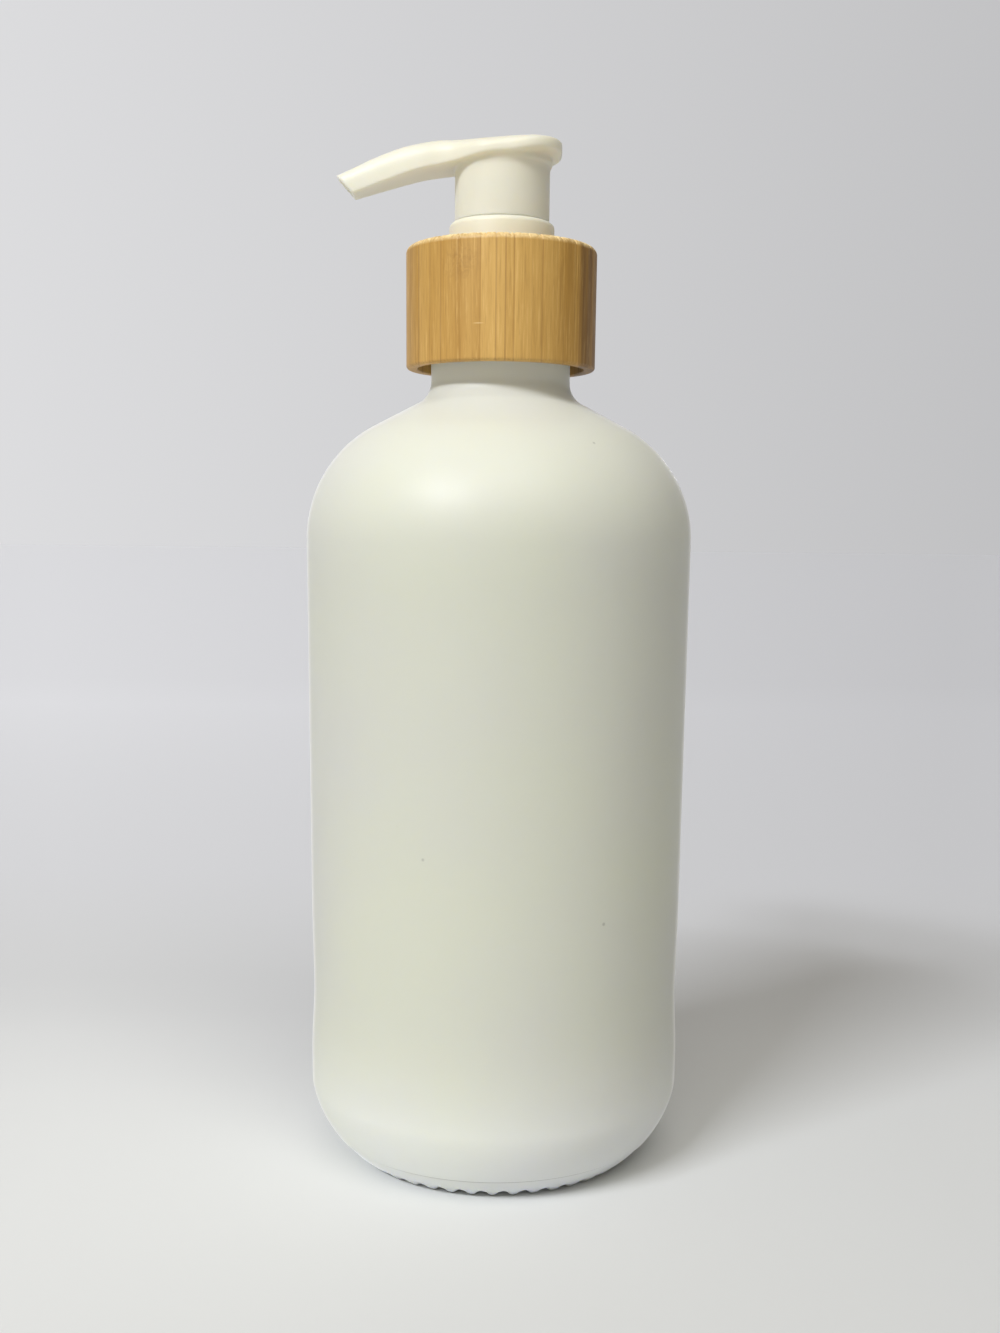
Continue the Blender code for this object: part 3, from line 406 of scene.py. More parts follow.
def cell_foam():
    """Closed-cell polyethylene foam: matt white skin, pitted where the punch cut its cells."""
    fresh, dull = hex_colour("#f4f4f0"), hex_colour("#dadad2")
    cell = 0.0003
    made, tree, shader, where = new_material("polyethylene_foam_punched")
    cells = add(tree, "TexVoronoi", {"Vector": where, "Scale": 1 / cell}, feature="SMOOTH_F1")
    toned = add(tree, "Mix", {0: cells, 6: fresh, 7: dull}, 2, data_type="RGBA")
    bump = add(tree, "Bump", {"Height": cells, "Strength": 0.5, "Distance": cell / 4})
    feed(shader, {"Base Color": toned, "Normal": bump, "Roughness": 0.85})
    return made


gasket_low, gasket_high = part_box("bottle_gasket")
gasket = moulded("foam_gasket", [
    (gasket_high.x, gasket_high.z, GASKET_ROUND), (gasket_high.x, gasket_low.z, GASKET_ROUND),
    (BORE_RADIUS, gasket_low.z, GASKET_ROUND), (BORE_RADIUS, gasket_high.z, GASKET_ROUND)], 96)
seat(gasket, cell_foam(), "pump_body", "bottle_gasket")

# Pump barrel: a tube of natural polypropylene, injection-moulded with its flange, the seat
# for the inlet ball and the socket for the dip tube. A pin hole under the flange lets air
# into the bottle as soap leaves it.
BARREL_RADIUS = 0.007
BARREL_WALL = 0.0012
BARREL_FLANGE = 0.0014
FIT_GAP = 0.0003
BARREL_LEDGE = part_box("ball_cage")[0].z - FIT_GAP
SEAT_DROP = 0.0036
THROAT_LENGTH = 0.002
SEAT_RADIUS = 0.0019
POCKET_RADIUS = 0.0032
DIP_SOCKET_RADIUS = 0.0031
DIP_SOCKET_OUTER = 0.0044
VENT_RADIUS = 0.0005
VENT_DROP = 0.0065
MOULD_ROUND = 0.0003


def bake(thing):
    """Turn a piece's modifiers into its mesh."""
    bpy.context.view_layer.update()
    mesh = bpy.data.meshes.new_from_object(thing.evaluated_get(bpy.context.evaluated_depsgraph_get()))
    thing.modifiers.clear()
    thing.data = mesh


def carve(thing, tool, operation="DIFFERENCE"):
    """Cut or join a tool with a boolean, and remove the tool."""
    change = thing.modifiers.new("carve", "BOOLEAN")
    change.operation = operation
    change.object = tool
    bake(thing)
    bpy.data.objects.remove(tool, do_unlink=True)
    shade(thing.data)


def plain_solid(name, shape, middle, turn, **sizes):
    """A plain solid to cut or join with."""
    work = bmesh.new()
    shape(work, matrix=Matrix.Translation(middle) @ turn, **sizes)
    mesh = bpy.data.meshes.new(name)
    work.to_mesh(mesh)
    work.free()
    return placed(name, mesh)


def rod(radius, length, middle, turn=Matrix.Identity(4)):
    """A cylinder to cut with, upright unless turned."""
    return plain_solid("rod", bmesh.ops.create_cone, middle, turn, cap_ends=True, segments=48,
                       radius1=radius, radius2=radius, depth=length)


def moulded_plastic(name, light, deep, grain, roughness, soak):
    """An injection-moulded plastic: faint flow clouds, a fine spark-eroded grain, soft depth."""
    flow_size = 0.012
    made, tree, shader, where = new_material(name)
    flow = add(tree, "TexNoise", {"Vector": where, "Scale": 1 / flow_size})
    cloudy = add(tree, "MapRange", [flow, *NOISE_SPREAD])
    toned = add(tree, "Mix", {0: cloudy, 6: hex_colour(light), 7: hex_colour(deep)}, 2, data_type="RGBA")
    texture = add(tree, "TexNoise", {"Vector": where, "Scale": 1 / grain})
    rough = add(tree, "MapRange", {0: texture, 3: roughness - 0.05, 4: roughness + 0.05})
    bump = add(tree, "Bump", {"Height": texture, "Strength": 0.15, "Distance": grain / 6})
    feed(shader, {"Base Color": toned, "Roughness": rough, "Normal": bump, "IOR": 1.49,
                  "Subsurface Weight": soak, "Subsurface Radius": (1.0, 0.85, 0.55),
                  "Subsurface Scale": 0.003})
    return made


NATURAL_POLYPROPYLENE = moulded_plastic("polypropylene_natural_moulded", "#ebebe4", "#e3e4dc",
                                        grain=0.0004, roughness=0.38, soak=0.5)
barrel_low, barrel_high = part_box("pump_barrel")
barrel_foot = barrel_low.z
bore = BARREL_RADIUS - BARREL_WALL
seat_z = BARREL_LEDGE - SEAT_DROP
flange_z = barrel_high.z - BARREL_FLANGE
barrel = moulded("barrel_tube", [
    (bore, barrel_high.z, MOULD_ROUND), (barrel_high.x, barrel_high.z, MOULD_ROUND),
    (barrel_high.x, flange_z, MOULD_ROUND), (BARREL_RADIUS, flange_z, MOULD_ROUND),
    (BARREL_RADIUS, BARREL_LEDGE - BARREL_WALL, MOULD_ROUND),
    (DIP_SOCKET_OUTER, seat_z - BARREL_WALL, MOULD_ROUND), (DIP_SOCKET_OUTER, barrel_foot, MOULD_ROUND),
    (DIP_SOCKET_RADIUS, barrel_foot, MOULD_ROUND), (DIP_SOCKET_RADIUS, seat_z - THROAT_LENGTH, 0),
    (SEAT_RADIUS, seat_z - THROAT_LENGTH, 0), (SEAT_RADIUS, seat_z, 0),
    (POCKET_RADIUS, seat_z + MOULD_ROUND, 0), (POCKET_RADIUS, BARREL_LEDGE, 0), (bore, BARREL_LEDGE, 0)], 96)
carve(barrel, rod(VENT_RADIUS, 4 * BARREL_WALL, (BARREL_RADIUS, 0, barrel_high.z - VENT_DROP),
                  Matrix.Rotation(math.pi / 2, 4, "Y")))
seat(barrel, NATURAL_POLYPROPYLENE, "pump_body", "pump_barrel")

# Ball cage and inlet ball: the cage is pushed down the barrel until it sits on the ledge.
# It keeps the polished glass ball in its pocket and carries the foot of the spring.
def polished_glass():
    """Ground and polished borosilicate ball: clear, with a trace of green from its depth."""
    scour_size = 0.0008
    made, tree, shader, where = new_material("borosilicate_glass_polished")
    scour = add(tree, "TexNoise", {"Vector": where, "Scale": 1 / scour_size})
    rough = add(tree, "MapRange", {0: scour, 3: 0.02, 4: 0.07})
    feed(shader, {"Base Color": hex_colour("#eaf3ee"), "Roughness": rough, "IOR": 1.47,
                  "Transmission Weight": 0.9})
    return made


def finish_node(node, finish):
    """Give a CAD node that stays in view its finish."""
    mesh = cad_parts[node].data
    mesh.materials.clear()
    mesh.materials.append(finish)


POLISHED_GLASS = polished_glass()
finish_node("ball_cage", NATURAL_POLYPROPYLENE)
finish_node("inlet_ball", POLISHED_GLASS)

# Dip tube: extruded low-density polyethylene, cut at a slant at its foot so that it can't
# seal itself against the glass, and pushed up into the barrel's socket.
DIP_WALL = 0.0008
DIP_CUT_ANGLE = math.radians(35)
dip_low, dip_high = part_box("dip_tube")


def slant_foot(radius, height, angles):
    """Lift the foot's points onto the slanted cut, whose low side faces +X."""
    cut = dip_low.z + (dip_high.x - radius * np.cos(angles)) * math.tan(DIP_CUT_ANGLE)
    return radius, np.maximum(height, cut)


SOFT_POLYETHYLENE = moulded_plastic("polyethylene_low_density_extruded", "#e6e9ea", "#dde1e3",
                                    grain=0.0006, roughness=0.45, soak=0.6)
dip_bore = dip_high.x - DIP_WALL
cut_rise = 2 * dip_high.x * math.tan(DIP_CUT_ANGLE)
dip_profile = [(dip_bore, dip_high.z), (dip_high.x, dip_high.z),
               (dip_high.x, dip_low.z + cut_rise + DIP_WALL), (dip_high.x, dip_low.z),
               (dip_bore, dip_low.z), (dip_bore, dip_low.z + cut_rise + DIP_WALL)]
dip_tube = turned("slant_cut_tube", dip_profile, around(64), slant_foot, closed=True)
seat(dip_tube, SOFT_POLYETHYLENE, "pump_body", "dip_tube")

# Return spring: stainless wire coiled cold, with a closed turn at each end. It stretches
# with the piston in use.
WIRE_RADIUS = 0.00045
COIL_RADIUS = 0.00445
SPRING_TURNS = 8
CLOSED_TURNS = 1
CLOSED_PITCH = 2.1 * WIRE_RADIUS
TURN_POINTS = 32
WIRE_SIDES = 12
WIRE_CREASE = math.radians(50)


def swept(name, path, radius, sides):
    """A round bar along a path, with flat ends."""
    path = [Vector(spot) for spot in path]
    spots = []
    across = None
    for index, spot in enumerate(path):
        ahead = (path[min(index + 1, len(path) - 1)] - path[max(index - 1, 0)]).normalized()
        across = across or ahead.orthogonal()
        across = (across - ahead * across.dot(ahead)).normalized()
        other = ahead.cross(across)
        for turn in around(sides):
            spots.append(spot + (across * math.cos(turn) + other * math.sin(turn)) * radius)
    return skinned(name, spots, net(len(path), sides, capped=True), WIRE_CREASE)


def drawn_steel():
    """Stainless wire drawn through a die: bright, with fine lines along it."""
    line_width, line_run = 0.00064, 8.0
    made, tree, shader, where = new_material("stainless_steel_drawn")
    stretch = add(tree, "VectorMath", [where, (1.0, 1.0, line_run)], operation="MULTIPLY")
    lines = add(tree, "TexNoise", {"Vector": stretch, "Scale": 1 / line_width})
    rough = add(tree, "MapRange", {0: lines, 3: 0.18, 4: 0.34})
    feed(shader, {"Base Color": hex_colour("#c9c7c2"), "Roughness": rough, "Metallic": 1.0})
    return made


spring_low, spring_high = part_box("return_spring")
foot_z = spring_low.z + WIRE_RADIUS
head_z = spring_high.z - WIRE_RADIUS
closed_rise = CLOSED_TURNS * CLOSED_PITCH
coil = []
for step in range(SPRING_TURNS * TURN_POINTS + 1):
    turns = step / TURN_POINTS
    rise = np.interp(turns, (0, CLOSED_TURNS, SPRING_TURNS - CLOSED_TURNS, SPRING_TURNS),
                     (foot_z, foot_z + closed_rise, head_z - closed_rise, head_z))
    turn = 2 * math.pi * turns
    coil.append((COIL_RADIUS * math.cos(turn), COIL_RADIUS * math.sin(turn), rise))
spring = swept("coil_spring", coil, WIRE_RADIUS, WIRE_SIDES)
spring.data.materials.append(drawn_steel())
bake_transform(spring)
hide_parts("return_spring")

# Piston and its core: a soft polyethylene sleeve with a lip at each end that wipes the
# barrel, held between the stem above and the flange of the core, which plugs into the stem.
PISTON_LIP = 0.0014
PISTON_GROOVE = 0.0007
PISTON_BORE = 0.003
CORE_RADIUS = 0.0027
CORE_BORE = 0.0012
CORE_FLANGE = 0.0016
SPIGOT_RADIUS = 0.0021
LIP_ROUND = 0.00025
piston_low, piston_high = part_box("piston")
lip_r = piston_high.x
waist_r = lip_r - PISTON_GROOVE
lip_edge = lip_r - PISTON_GROOVE / 2
piston = moulded("lipped_piston", [
    (PISTON_BORE, piston_high.z, LIP_ROUND), (lip_edge, piston_high.z, LIP_ROUND),
    (lip_r, piston_high.z - PISTON_LIP / 3, LIP_ROUND), (lip_r, piston_high.z - PISTON_LIP, LIP_ROUND),
    (waist_r, piston_high.z - 2 * PISTON_LIP, LIP_ROUND),
    (waist_r, piston_low.z + 2 * PISTON_LIP, 0), (lip_r, piston_low.z + PISTON_LIP, LIP_ROUND),
    (lip_r, piston_low.z + PISTON_LIP / 3, LIP_ROUND), (lip_edge, piston_low.z, LIP_ROUND),
    (PISTON_BORE, piston_low.z, LIP_ROUND)])
seat(piston, SOFT_POLYETHYLENE, "piston", "piston")
core_low, core_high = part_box("piston_core")
core = moulded("hollow_core", [
    (CORE_BORE, core_high.z, LIP_ROUND), (SPIGOT_RADIUS, core_high.z, LIP_ROUND),
    (SPIGOT_RADIUS, piston_high.z, 0), (CORE_RADIUS, piston_high.z, LIP_ROUND),
    (CORE_RADIUS, core_low.z + CORE_FLANGE, 0), (core_high.x, core_low.z + CORE_FLANGE, LIP_ROUND),
    (core_high.x, core_low.z, LIP_ROUND), (CORE_BORE, core_low.z, LIP_ROUND)])
seat(core, NATURAL_POLYPROPYLENE, "head", "piston_core")

# Stem and outlet ball: a hollow polypropylene rod that shows between ring and skirt when
# the pump is up. It plugs into the head, and the outlet ball rests in the chamber at its top.
STEM_BORE = 0.0015
STEM_SOCKET = 0.0024
CHAMBER_RADIUS = 0.0025
CHAMBER_DEPTH = 0.0046
stem_low, stem_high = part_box("stem")
spigot_room = core_high.z + FIT_GAP
stem = moulded("hollow_stem", [
    (CHAMBER_RADIUS, stem_high.z, LIP_ROUND), (stem_high.x, stem_high.z, LIP_ROUND),
    (stem_high.x, stem_low.z, LIP_ROUND), (STEM_SOCKET, stem_low.z, LIP_ROUND),
    (STEM_SOCKET, spigot_room, 0), (STEM_BORE, spigot_room, 0),
    (STEM_BORE, stem_high.z - CHAMBER_DEPTH, LIP_ROUND), (CHAMBER_RADIUS, stem_high.z - CHAMBER_DEPTH, 0)])
seat(stem, NATURAL_POLYPROPYLENE, "head", "stem")
finish_node("outlet_ball", POLISHED_GLASS)

# Stem wiper: a soft polyethylene ring in the lock ring's throat that keeps water from
# running down the stem.
WIPER_BORE = 0.0041
WIPER_LIP = 0.0005
wiper_low, wiper_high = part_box("stem_wiper")
wiper = moulded("wiper_ring", [
    (WIPER_BORE, wiper_high.z, 0), (wiper_high.x - WIPER_LIP, wiper_high.z, LIP_ROUND),
    (wiper_high.x, wiper_high.z - WIPER_LIP, LIP_ROUND), (wiper_high.x, wiper_low.z, LIP_ROUND),
    (WIPER_BORE + WIPER_LIP, wiper_low.z, 0), (WIPER_BORE, wiper_low.z + WIPER_LIP, 0)])
seat(wiper, SOFT_POLYETHYLENE, "pump_body", "stem_wiper")

# Threaded closure: a cream polypropylene cap with the thread inside. It is out of sight
# under the bamboo, and pinches the pump's flanges down on the bottle's rim.
CLOSURE_WALL = 0.00155
CLOSURE_TOP = 0.0016
RING_HOLE = 0.0102
THREAD_LAG = math.radians(100)
THREAD_CLEARANCE = 0.00015
closure_low, closure_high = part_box("threaded_closure")
closure_bore = closure_high.x - CLOSURE_WALL
closure_roof = closure_high.z - CLOSURE_TOP


def shape_closure(radius, height, angles):
    """Raise the thread inside the cap; it lies just under the bottle's own."""
    behind = (THREAD_CREST + THREAD_FOOT) / 2 + THREAD_CLEARANCE
    start_z = LEDGE_Z + THREAD_START - behind + THREAD_LEAD * THREAD_LAG / (2 * math.pi)
    on_bore = np.abs(radius - closure_bore) < CLOSURE_WALL / 100
    on_bore &= height < closure_roof - CLOSURE_WALL / 4
    reach = closure_bore - ROOT_RADIUS - 2 * THREAD_CLEARANCE
    ridge = threaded(radius, height, angles, start_z, THREAD_LAG, reach)
    return np.where(on_bore, radius - ridge, radius), height


CREAM_POLYPROPYLENE = moulded_plastic("polypropylene_cream_moulded", "#ebe9da", "#e7e4d2",
                                      grain=0.0003, roughness=0.44, soak=0.5)
closure_profile = rounded([
    (RING_HOLE, closure_high.z, MOULD_ROUND), (closure_high.x, closure_high.z, CLOSURE_WALL / 3),
    (closure_high.x, closure_low.z, MOULD_ROUND), (closure_bore, closure_low.z, MOULD_ROUND)])
closure_profile += [(closure_bore, z) for z in
                    np.linspace(closure_low.z + 2 * MOULD_ROUND, closure_roof, 64)]
closure_profile.append((RING_HOLE, closure_roof))
closure = turned("closure_shell", closure_profile, around(180), shape_closure, closed=True)
seat(closure, CREAM_POLYPROPYLENE, "closure", "threaded_closure")

# Bamboo collar: turned on a lathe from a block of glued bamboo strips, glued over the
# closure and lacquered. Its top edge is sanded round and pale, partly a painted highlight, with fibres torn
# by the tool.
BAMBOO_WALL = 0.00215
BAMBOO_TOP = 0.0026
COLLAR_TOP_ROUND = 0.0012
COLLAR_FOOT_ROUND = 0.0006
TORN_DEPTH = 0.00018
TORN_WAVES = (23, 41, 67, 97, 131, 173)
# Where each strip of the laminate starts across the collar, and how pale it is; the last, at +X, is darkened
# as painted shade on the collar's shaded side
STRIPS = (
    (-0.0180, 0.45), (-0.0152, 0.62), (-0.0131, 0.52), (-0.0110, 0.42), (-0.0074, 0.52), (-0.0038, 0.88),
    (-0.00095, 0.70), (0.00076, 0.66), (0.0023, 0.82), (0.0055, 0.66), (0.0074, 0.56), (0.0114, 0.42),
    (0.0144, 0.14),
)
BURR_PLACE = (-0.007, -0.016, 0.174)
BURR_RADIUS = 0.0045
NODE_MARK = (-0.0041, -0.0176, 0.1632)
collar_low, collar_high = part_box("bamboo_collar")
collar_radius = collar_high.x


def tear_edge(radius, height, angles):
    """Small uneven dents where the lathe tool tore fibres from the top edge."""
    rng = np.random.default_rng(7)
    wander = np.zeros_like(angles)
    for waves in TORN_WAVES:
        wander = wander + np.sin(waves * angles + rng.uniform(0, 2 * math.pi))
    torn = np.clip(wander / 3 - 0.1, 0, 1) * TORN_DEPTH
    near_edge = np.clip(1 - (collar_high.z - height) / (1.5 * COLLAR_TOP_ROUND), 0, 1)
    on_edge = near_edge * np.clip((radius - collar_radius + 2 * COLLAR_TOP_ROUND) / COLLAR_TOP_ROUND, 0, 1)
    return radius - torn * on_edge, height - torn * on_edge


def laminated_bamboo():
    """Carbonised bamboo laminate, turned and lacquered: strips of unlike tone side by side, the last
    darkened as painted shade, fine dark fibres running up it, thin glue joints, a pale sanded edge with a
    painted highlight and a satin sheen."""
    pale, straw, dark = hex_colour("#d8ae62"), hex_colour("#b5893f"), hex_colour("#76552b")
    blond, brown, glue = hex_colour("#ecc680"), hex_colour("#7d5322"), hex_colour("#8a5e2a")
    sanded = hex_colour("#ffe6ad")
    fibre_width, fibre_run = 0.0004, 22
    bundle_width, bundle_run = 0.0007, 9
    joint_width = 0.00014
    rag_size = 0.0013
    node_squash = (1.0, 0.2, 9.0)
    made, tree, shader, where = new_material("bamboo_laminate_lacquered")
    place = add(tree, "SeparateXYZ", [where]).node.outputs
    side = add(tree, "MapRange", [place["X"], -collar_radius, collar_radius])
    lots = add(tree, "ValToRGB", [side])
    elements = lots.node.color_ramp.elements
    lots.node.color_ramp.interpolation = "CONSTANT"
    joint = 0.0
    for index, (start, tone) in enumerate(STRIPS):
        stop = (start / collar_radius + 1) / 2
        element = elements.new(stop) if index else elements[0]
        element.position = stop
        element.color = (tone, tone, tone, 1)
        if index:
            off = add(tree, "Math", [place["X"], start, joint_width], operation="COMPARE")
            joint = add(tree, "Math", [joint, off], operation="MAXIMUM")
    elements.remove(elements[-1])
    lot = add(tree, "SeparateColor", [lots])
    along = add(tree, "VectorMath", [where, (1.0, 1.0, 1 / fibre_run)], operation="MULTIPLY")
    fibres = add(tree, "TexNoise", {"Vector": along, "Scale": 1 / fibre_width, "Detail": 4.0,
                                    "Roughness": 0.65})
    drift = add(tree, "TexNoise", {"Vector": along, "Scale": 1 / (6 * fibre_width), "Detail": 1.0})
    drifted = add(tree, "MapRange", [drift, 0.3, 0.7, -0.12, 0.12])
    toned = add(tree, "Math", [lot, drifted], operation="ADD", use_clamp=True)
    colour = add(tree, "ValToRGB", [toned])
    tones = colour.node.color_ramp.elements
    tones[0].color = dark
    tones.new(0.35).color = straw
    tones[-1].color = pale
    light = add(tree, "MapRange", [fibres, 0.46, 0.3, 0.0, 0.4])
    streak = add(tree, "MapRange", [fibres, 0.52, 0.72, 0.0, 0.33])
    across = add(tree, "VectorMath", [where, (1.0, 1.0, 1 / bundle_run)], operation="MULTIPLY")
    bundles = add(tree, "TexVoronoi", {"Vector": across, "Scale": 1 / bundle_width})
    dash = add(tree, "MapRange", [bundles, 0.08, 0.2, 0.16, 0.0])
    shown = add(tree, "MapRange", [drift, 0.4, 0.6, 0.08, 0.4])
    seam = add(tree, "Math", [joint, shown], operation="MULTIPLY")
    from_burr = add(tree, "VectorMath", [where, BURR_PLACE], "Value", operation="DISTANCE")
    near_burr = add(tree, "MapRange", [from_burr, 0.0, BURR_RADIUS, 1.0, 0.0])
    rag = add(tree, "TexNoise", {"Vector": where, "Scale": 1 / rag_size, "Detail": 4.0, "Distortion": 1.5})
    ragged = add(tree, "MapRange", [rag, *NOISE_SPREAD, 0.0, 0.42])
    burr = add(tree, "Math", [ragged, near_burr], operation="MULTIPLY")
    from_node = add(tree, "VectorMath", [where, NODE_MARK], operation="SUBTRACT")
    squashed = add(tree, "VectorMath", [from_node, node_squash], operation="MULTIPLY")
    node_reach = add(tree, "VectorMath", [squashed], "Value", operation="LENGTH")
    node_mark = add(tree, "MapRange", [node_reach, 0.0004, 0.0012, 0.4, 0.0])
    # Pale top edge: partly sanded wear, partly a painted highlight where the rounded edge catches the light.
    worn_and_lit = add(tree, "MapRange", [place["Z"], collar_high.z - COLLAR_TOP_ROUND, collar_high.z, 0.0, 1.3])
    flat = add(tree, "VectorMath", [where, (1.0, 1.0, 0.0)], operation="MULTIPLY")
    from_axis = add(tree, "VectorMath", [flat], "Value", operation="LENGTH")
    outer = add(tree, "MapRange", [from_axis, collar_radius - 2 * COLLAR_TOP_ROUND,
                                   collar_radius - COLLAR_TOP_ROUND, 0.25, 1.0])
    torn = add(tree, "MapRange", [rag, *NOISE_SPREAD, 0.35, 1.0])
    torn_edge = add(tree, "Math", [torn, outer], operation="MULTIPLY")
    edge = add(tree, "Math", [worn_and_lit, torn_edge], operation="MULTIPLY", use_clamp=True)
    for share, layer in ((light, blond), (streak, brown), (dash, brown), (seam, glue), (burr, brown),
                         (node_mark, sanded), (edge, sanded)):
        colour = add(tree, "Mix", {0: share, 6: colour, 7: layer}, 2, data_type="RGBA")
    rough = add(tree, "MapRange", {0: fibres, 3: 0.4, 4: 0.58})
    bump = add(tree, "Bump", {"Height": fibres, "Strength": 0.35, "Distance": fibre_width / 5})
    feed(shader, {"Base Color": colour, "Roughness": rough, "Normal": bump, "IOR": 1.5})
    return made


collar_bore = collar_radius - BAMBOO_WALL
collar_roof = collar_high.z - BAMBOO_TOP
collar_profile = rounded([
    (RING_HOLE, collar_high.z, MOULD_ROUND), (collar_radius, collar_high.z, COLLAR_TOP_ROUND),
    (collar_radius, collar_low.z, COLLAR_FOOT_ROUND), (collar_bore, collar_low.z, MOULD_ROUND),
    (collar_bore, collar_roof, 0), (RING_HOLE, collar_roof, 0)], steps=9)
collar = turned("bamboo_shell", collar_profile, around(540), tear_edge, closed=True)
seat(collar, laminated_bamboo(), "closure", "bamboo_collar")

# Lock ring: cream polypropylene, moulded. It closes the barrel, stands up through the
# collar, and has a ledge inside with two slots, under which the head's lugs lock.
RING_RADIUS = 0.0099
RING_TOP_ROUND = 0.001
RING_FLANGE = 0.0012
RING_LEDGE = 0.0012
GROOVE_RADIUS = 0.0079
LEDGE_BORE = 0.0068
STEM_GUIDE = 0.0041
PLUG_RADIUS = 0.0055
WIPER_POCKET = 0.006
PLUG_LENGTH = 0.004
SLOT_WIDTH = 0.0051


def slab(size, middle):
    """A block to cut or join with."""
    return plain_solid("slab", bmesh.ops.create_cube, middle, Matrix.Diagonal((*size, 1)), size=1)


ring_low, ring_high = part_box("lock_ring")
ring_top = ring_high.z
flange_low = ring_low.z + PLUG_LENGTH
flange_top = flange_low + RING_FLANGE
groove_floor = wiper_high.z + FIT_GAP
ledge_under = ring_top - RING_LEDGE
edge = MOULD_ROUND / 2
lock_ring = moulded("ring_moulding", [
    (LEDGE_BORE, ring_top, edge), (RING_RADIUS, ring_top, RING_TOP_ROUND), (RING_RADIUS, flange_top, edge),
    (ring_high.x, flange_top, edge), (ring_high.x, flange_low, edge), (PLUG_RADIUS, flange_low, edge),
    (PLUG_RADIUS, ring_low.z, edge), (STEM_GUIDE, ring_low.z, edge), (STEM_GUIDE, flange_top, edge),
    (WIPER_POCKET, flange_top, 0), (WIPER_POCKET, groove_floor, 0), (GROOVE_RADIUS, groove_floor, 0),
    (GROOVE_RADIUS, ledge_under, 0), (LEDGE_BORE, ledge_under, edge)], 128, steps=6)
slot_length = 2 * math.sqrt(GROOVE_RADIUS ** 2 - (SLOT_WIDTH / 2) ** 2)
carve(lock_ring, slab((SLOT_WIDTH, slot_length, 2 * RING_LEDGE), (0, 0, ring_top - RING_LEDGE / 2)))
seat(lock_ring, CREAM_POLYPROPYLENE, "pump_body", "lock_ring")

# Pump head: cream polypropylene, moulded in one piece. A lobe to press runs out into the
# long drooping spout; below it are the skirt, the socket for the stem and two lock lugs.
SPOUT_REACH = -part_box("pump_head")[0].x
LOBE_BACK = 0.0111
LOBE_HALF_WIDTH = 0.0103
LOBE_THICKNESS = 0.0042
TIP_TOP_DROP = 0.0063
TIP_FOOT_DROP = 0.0055
TIP_HALF_WIDTH = 0.0033
CHANNEL_RADIUS = 0.0014
CHANNEL_SHARE = 0.47
SKIRT_RADIUS = 0.0089
SKIRT_INNER = 0.0078
SKIRT_CAVITY_HEIGHT = 0.0065
SKIRT_FLARE = 0.0005
SKIRT_GAP = 0.0001
SLEEVE_RADIUS = 0.0065
SOCKET_ROOF = 0.0026
LUG_RADIUS = 0.0076
LUG_WIDTH = 0.0045
LUG_HEIGHT = 0.0016
SKIN = 0.0002
SKIN_PASSES = 4
PLAN_POWER = 0.75
EDGE_POWER = 0.22
LOBE_KICK = 0.0013
KICK_SHARE = 0.8
SLIMMING = 1.6
SECTION_POINTS = 96
LOBE_CROWN = 0.72
SPOUT_CROWN = 0.58
BACK_CROWN = 0.45
LOBE_KEEL = 0.5
SPOUT_KEEL = 0.13
LOBE_WIDEST = 0.34
SPOUT_WIDEST = 0.12
# Down the spout: where its upper and its lower edge lie, as shares of its reach, how far
# each has dropped, as shares of the drops at the tip, and its width from tip to lobe
SPOUT_SHARES = (
    (0.10, 0.10, 0.05, 0.02, 0.93),
    (0.20, 0.20, 0.055, 0.04, 0.70),
    (0.29, 0.29, 0.045, 0.09, 0.46),
    (0.38, 0.375, 0.04, 0.17, 0.345),
    (0.49, 0.475, 0.12, 0.27, 0.31),
    (0.60, 0.575, 0.23, 0.42, 0.245),
    (0.70, 0.67, 0.39, 0.59, 0.175),
    (0.80, 0.755, 0.58, 0.74, 0.115),
    (0.90, 0.83, 0.80, 0.88, 0.05),
    (1.00, 0.895, 1.00, 1.00, 0.0),
)
head_low, head_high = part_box("pump_head")
lobe_top = head_high.z
lobe_z = lobe_top - LOBE_THICKNESS


def spout_stations():
    """Sections down the spout: half width, then x and height of the lower and upper edge, and
    how full its crown, its keel and its widest level are."""
    stations = []
    for top_x, foot_x, top_drop, foot_drop, width in SPOUT_SHARES:
        slim = min(1, SLIMMING * (1 - width))
        stations.append((TIP_HALF_WIDTH + (LOBE_HALF_WIDTH - TIP_HALF_WIDTH) * width,
                         -SPOUT_REACH * foot_x, lobe_z - TIP_FOOT_DROP * foot_drop,
                         -SPOUT_REACH * top_x, lobe_top - TIP_TOP_DROP * top_drop,
                         LOBE_CROWN + (SPOUT_CROWN - LOBE_CROWN) * slim,
                         LOBE_KEEL + (SPOUT_KEEL - LOBE_KEEL) * slim,
                         LOBE_WIDEST + (SPOUT_WIDEST - LOBE_WIDEST) * slim))
    return stations


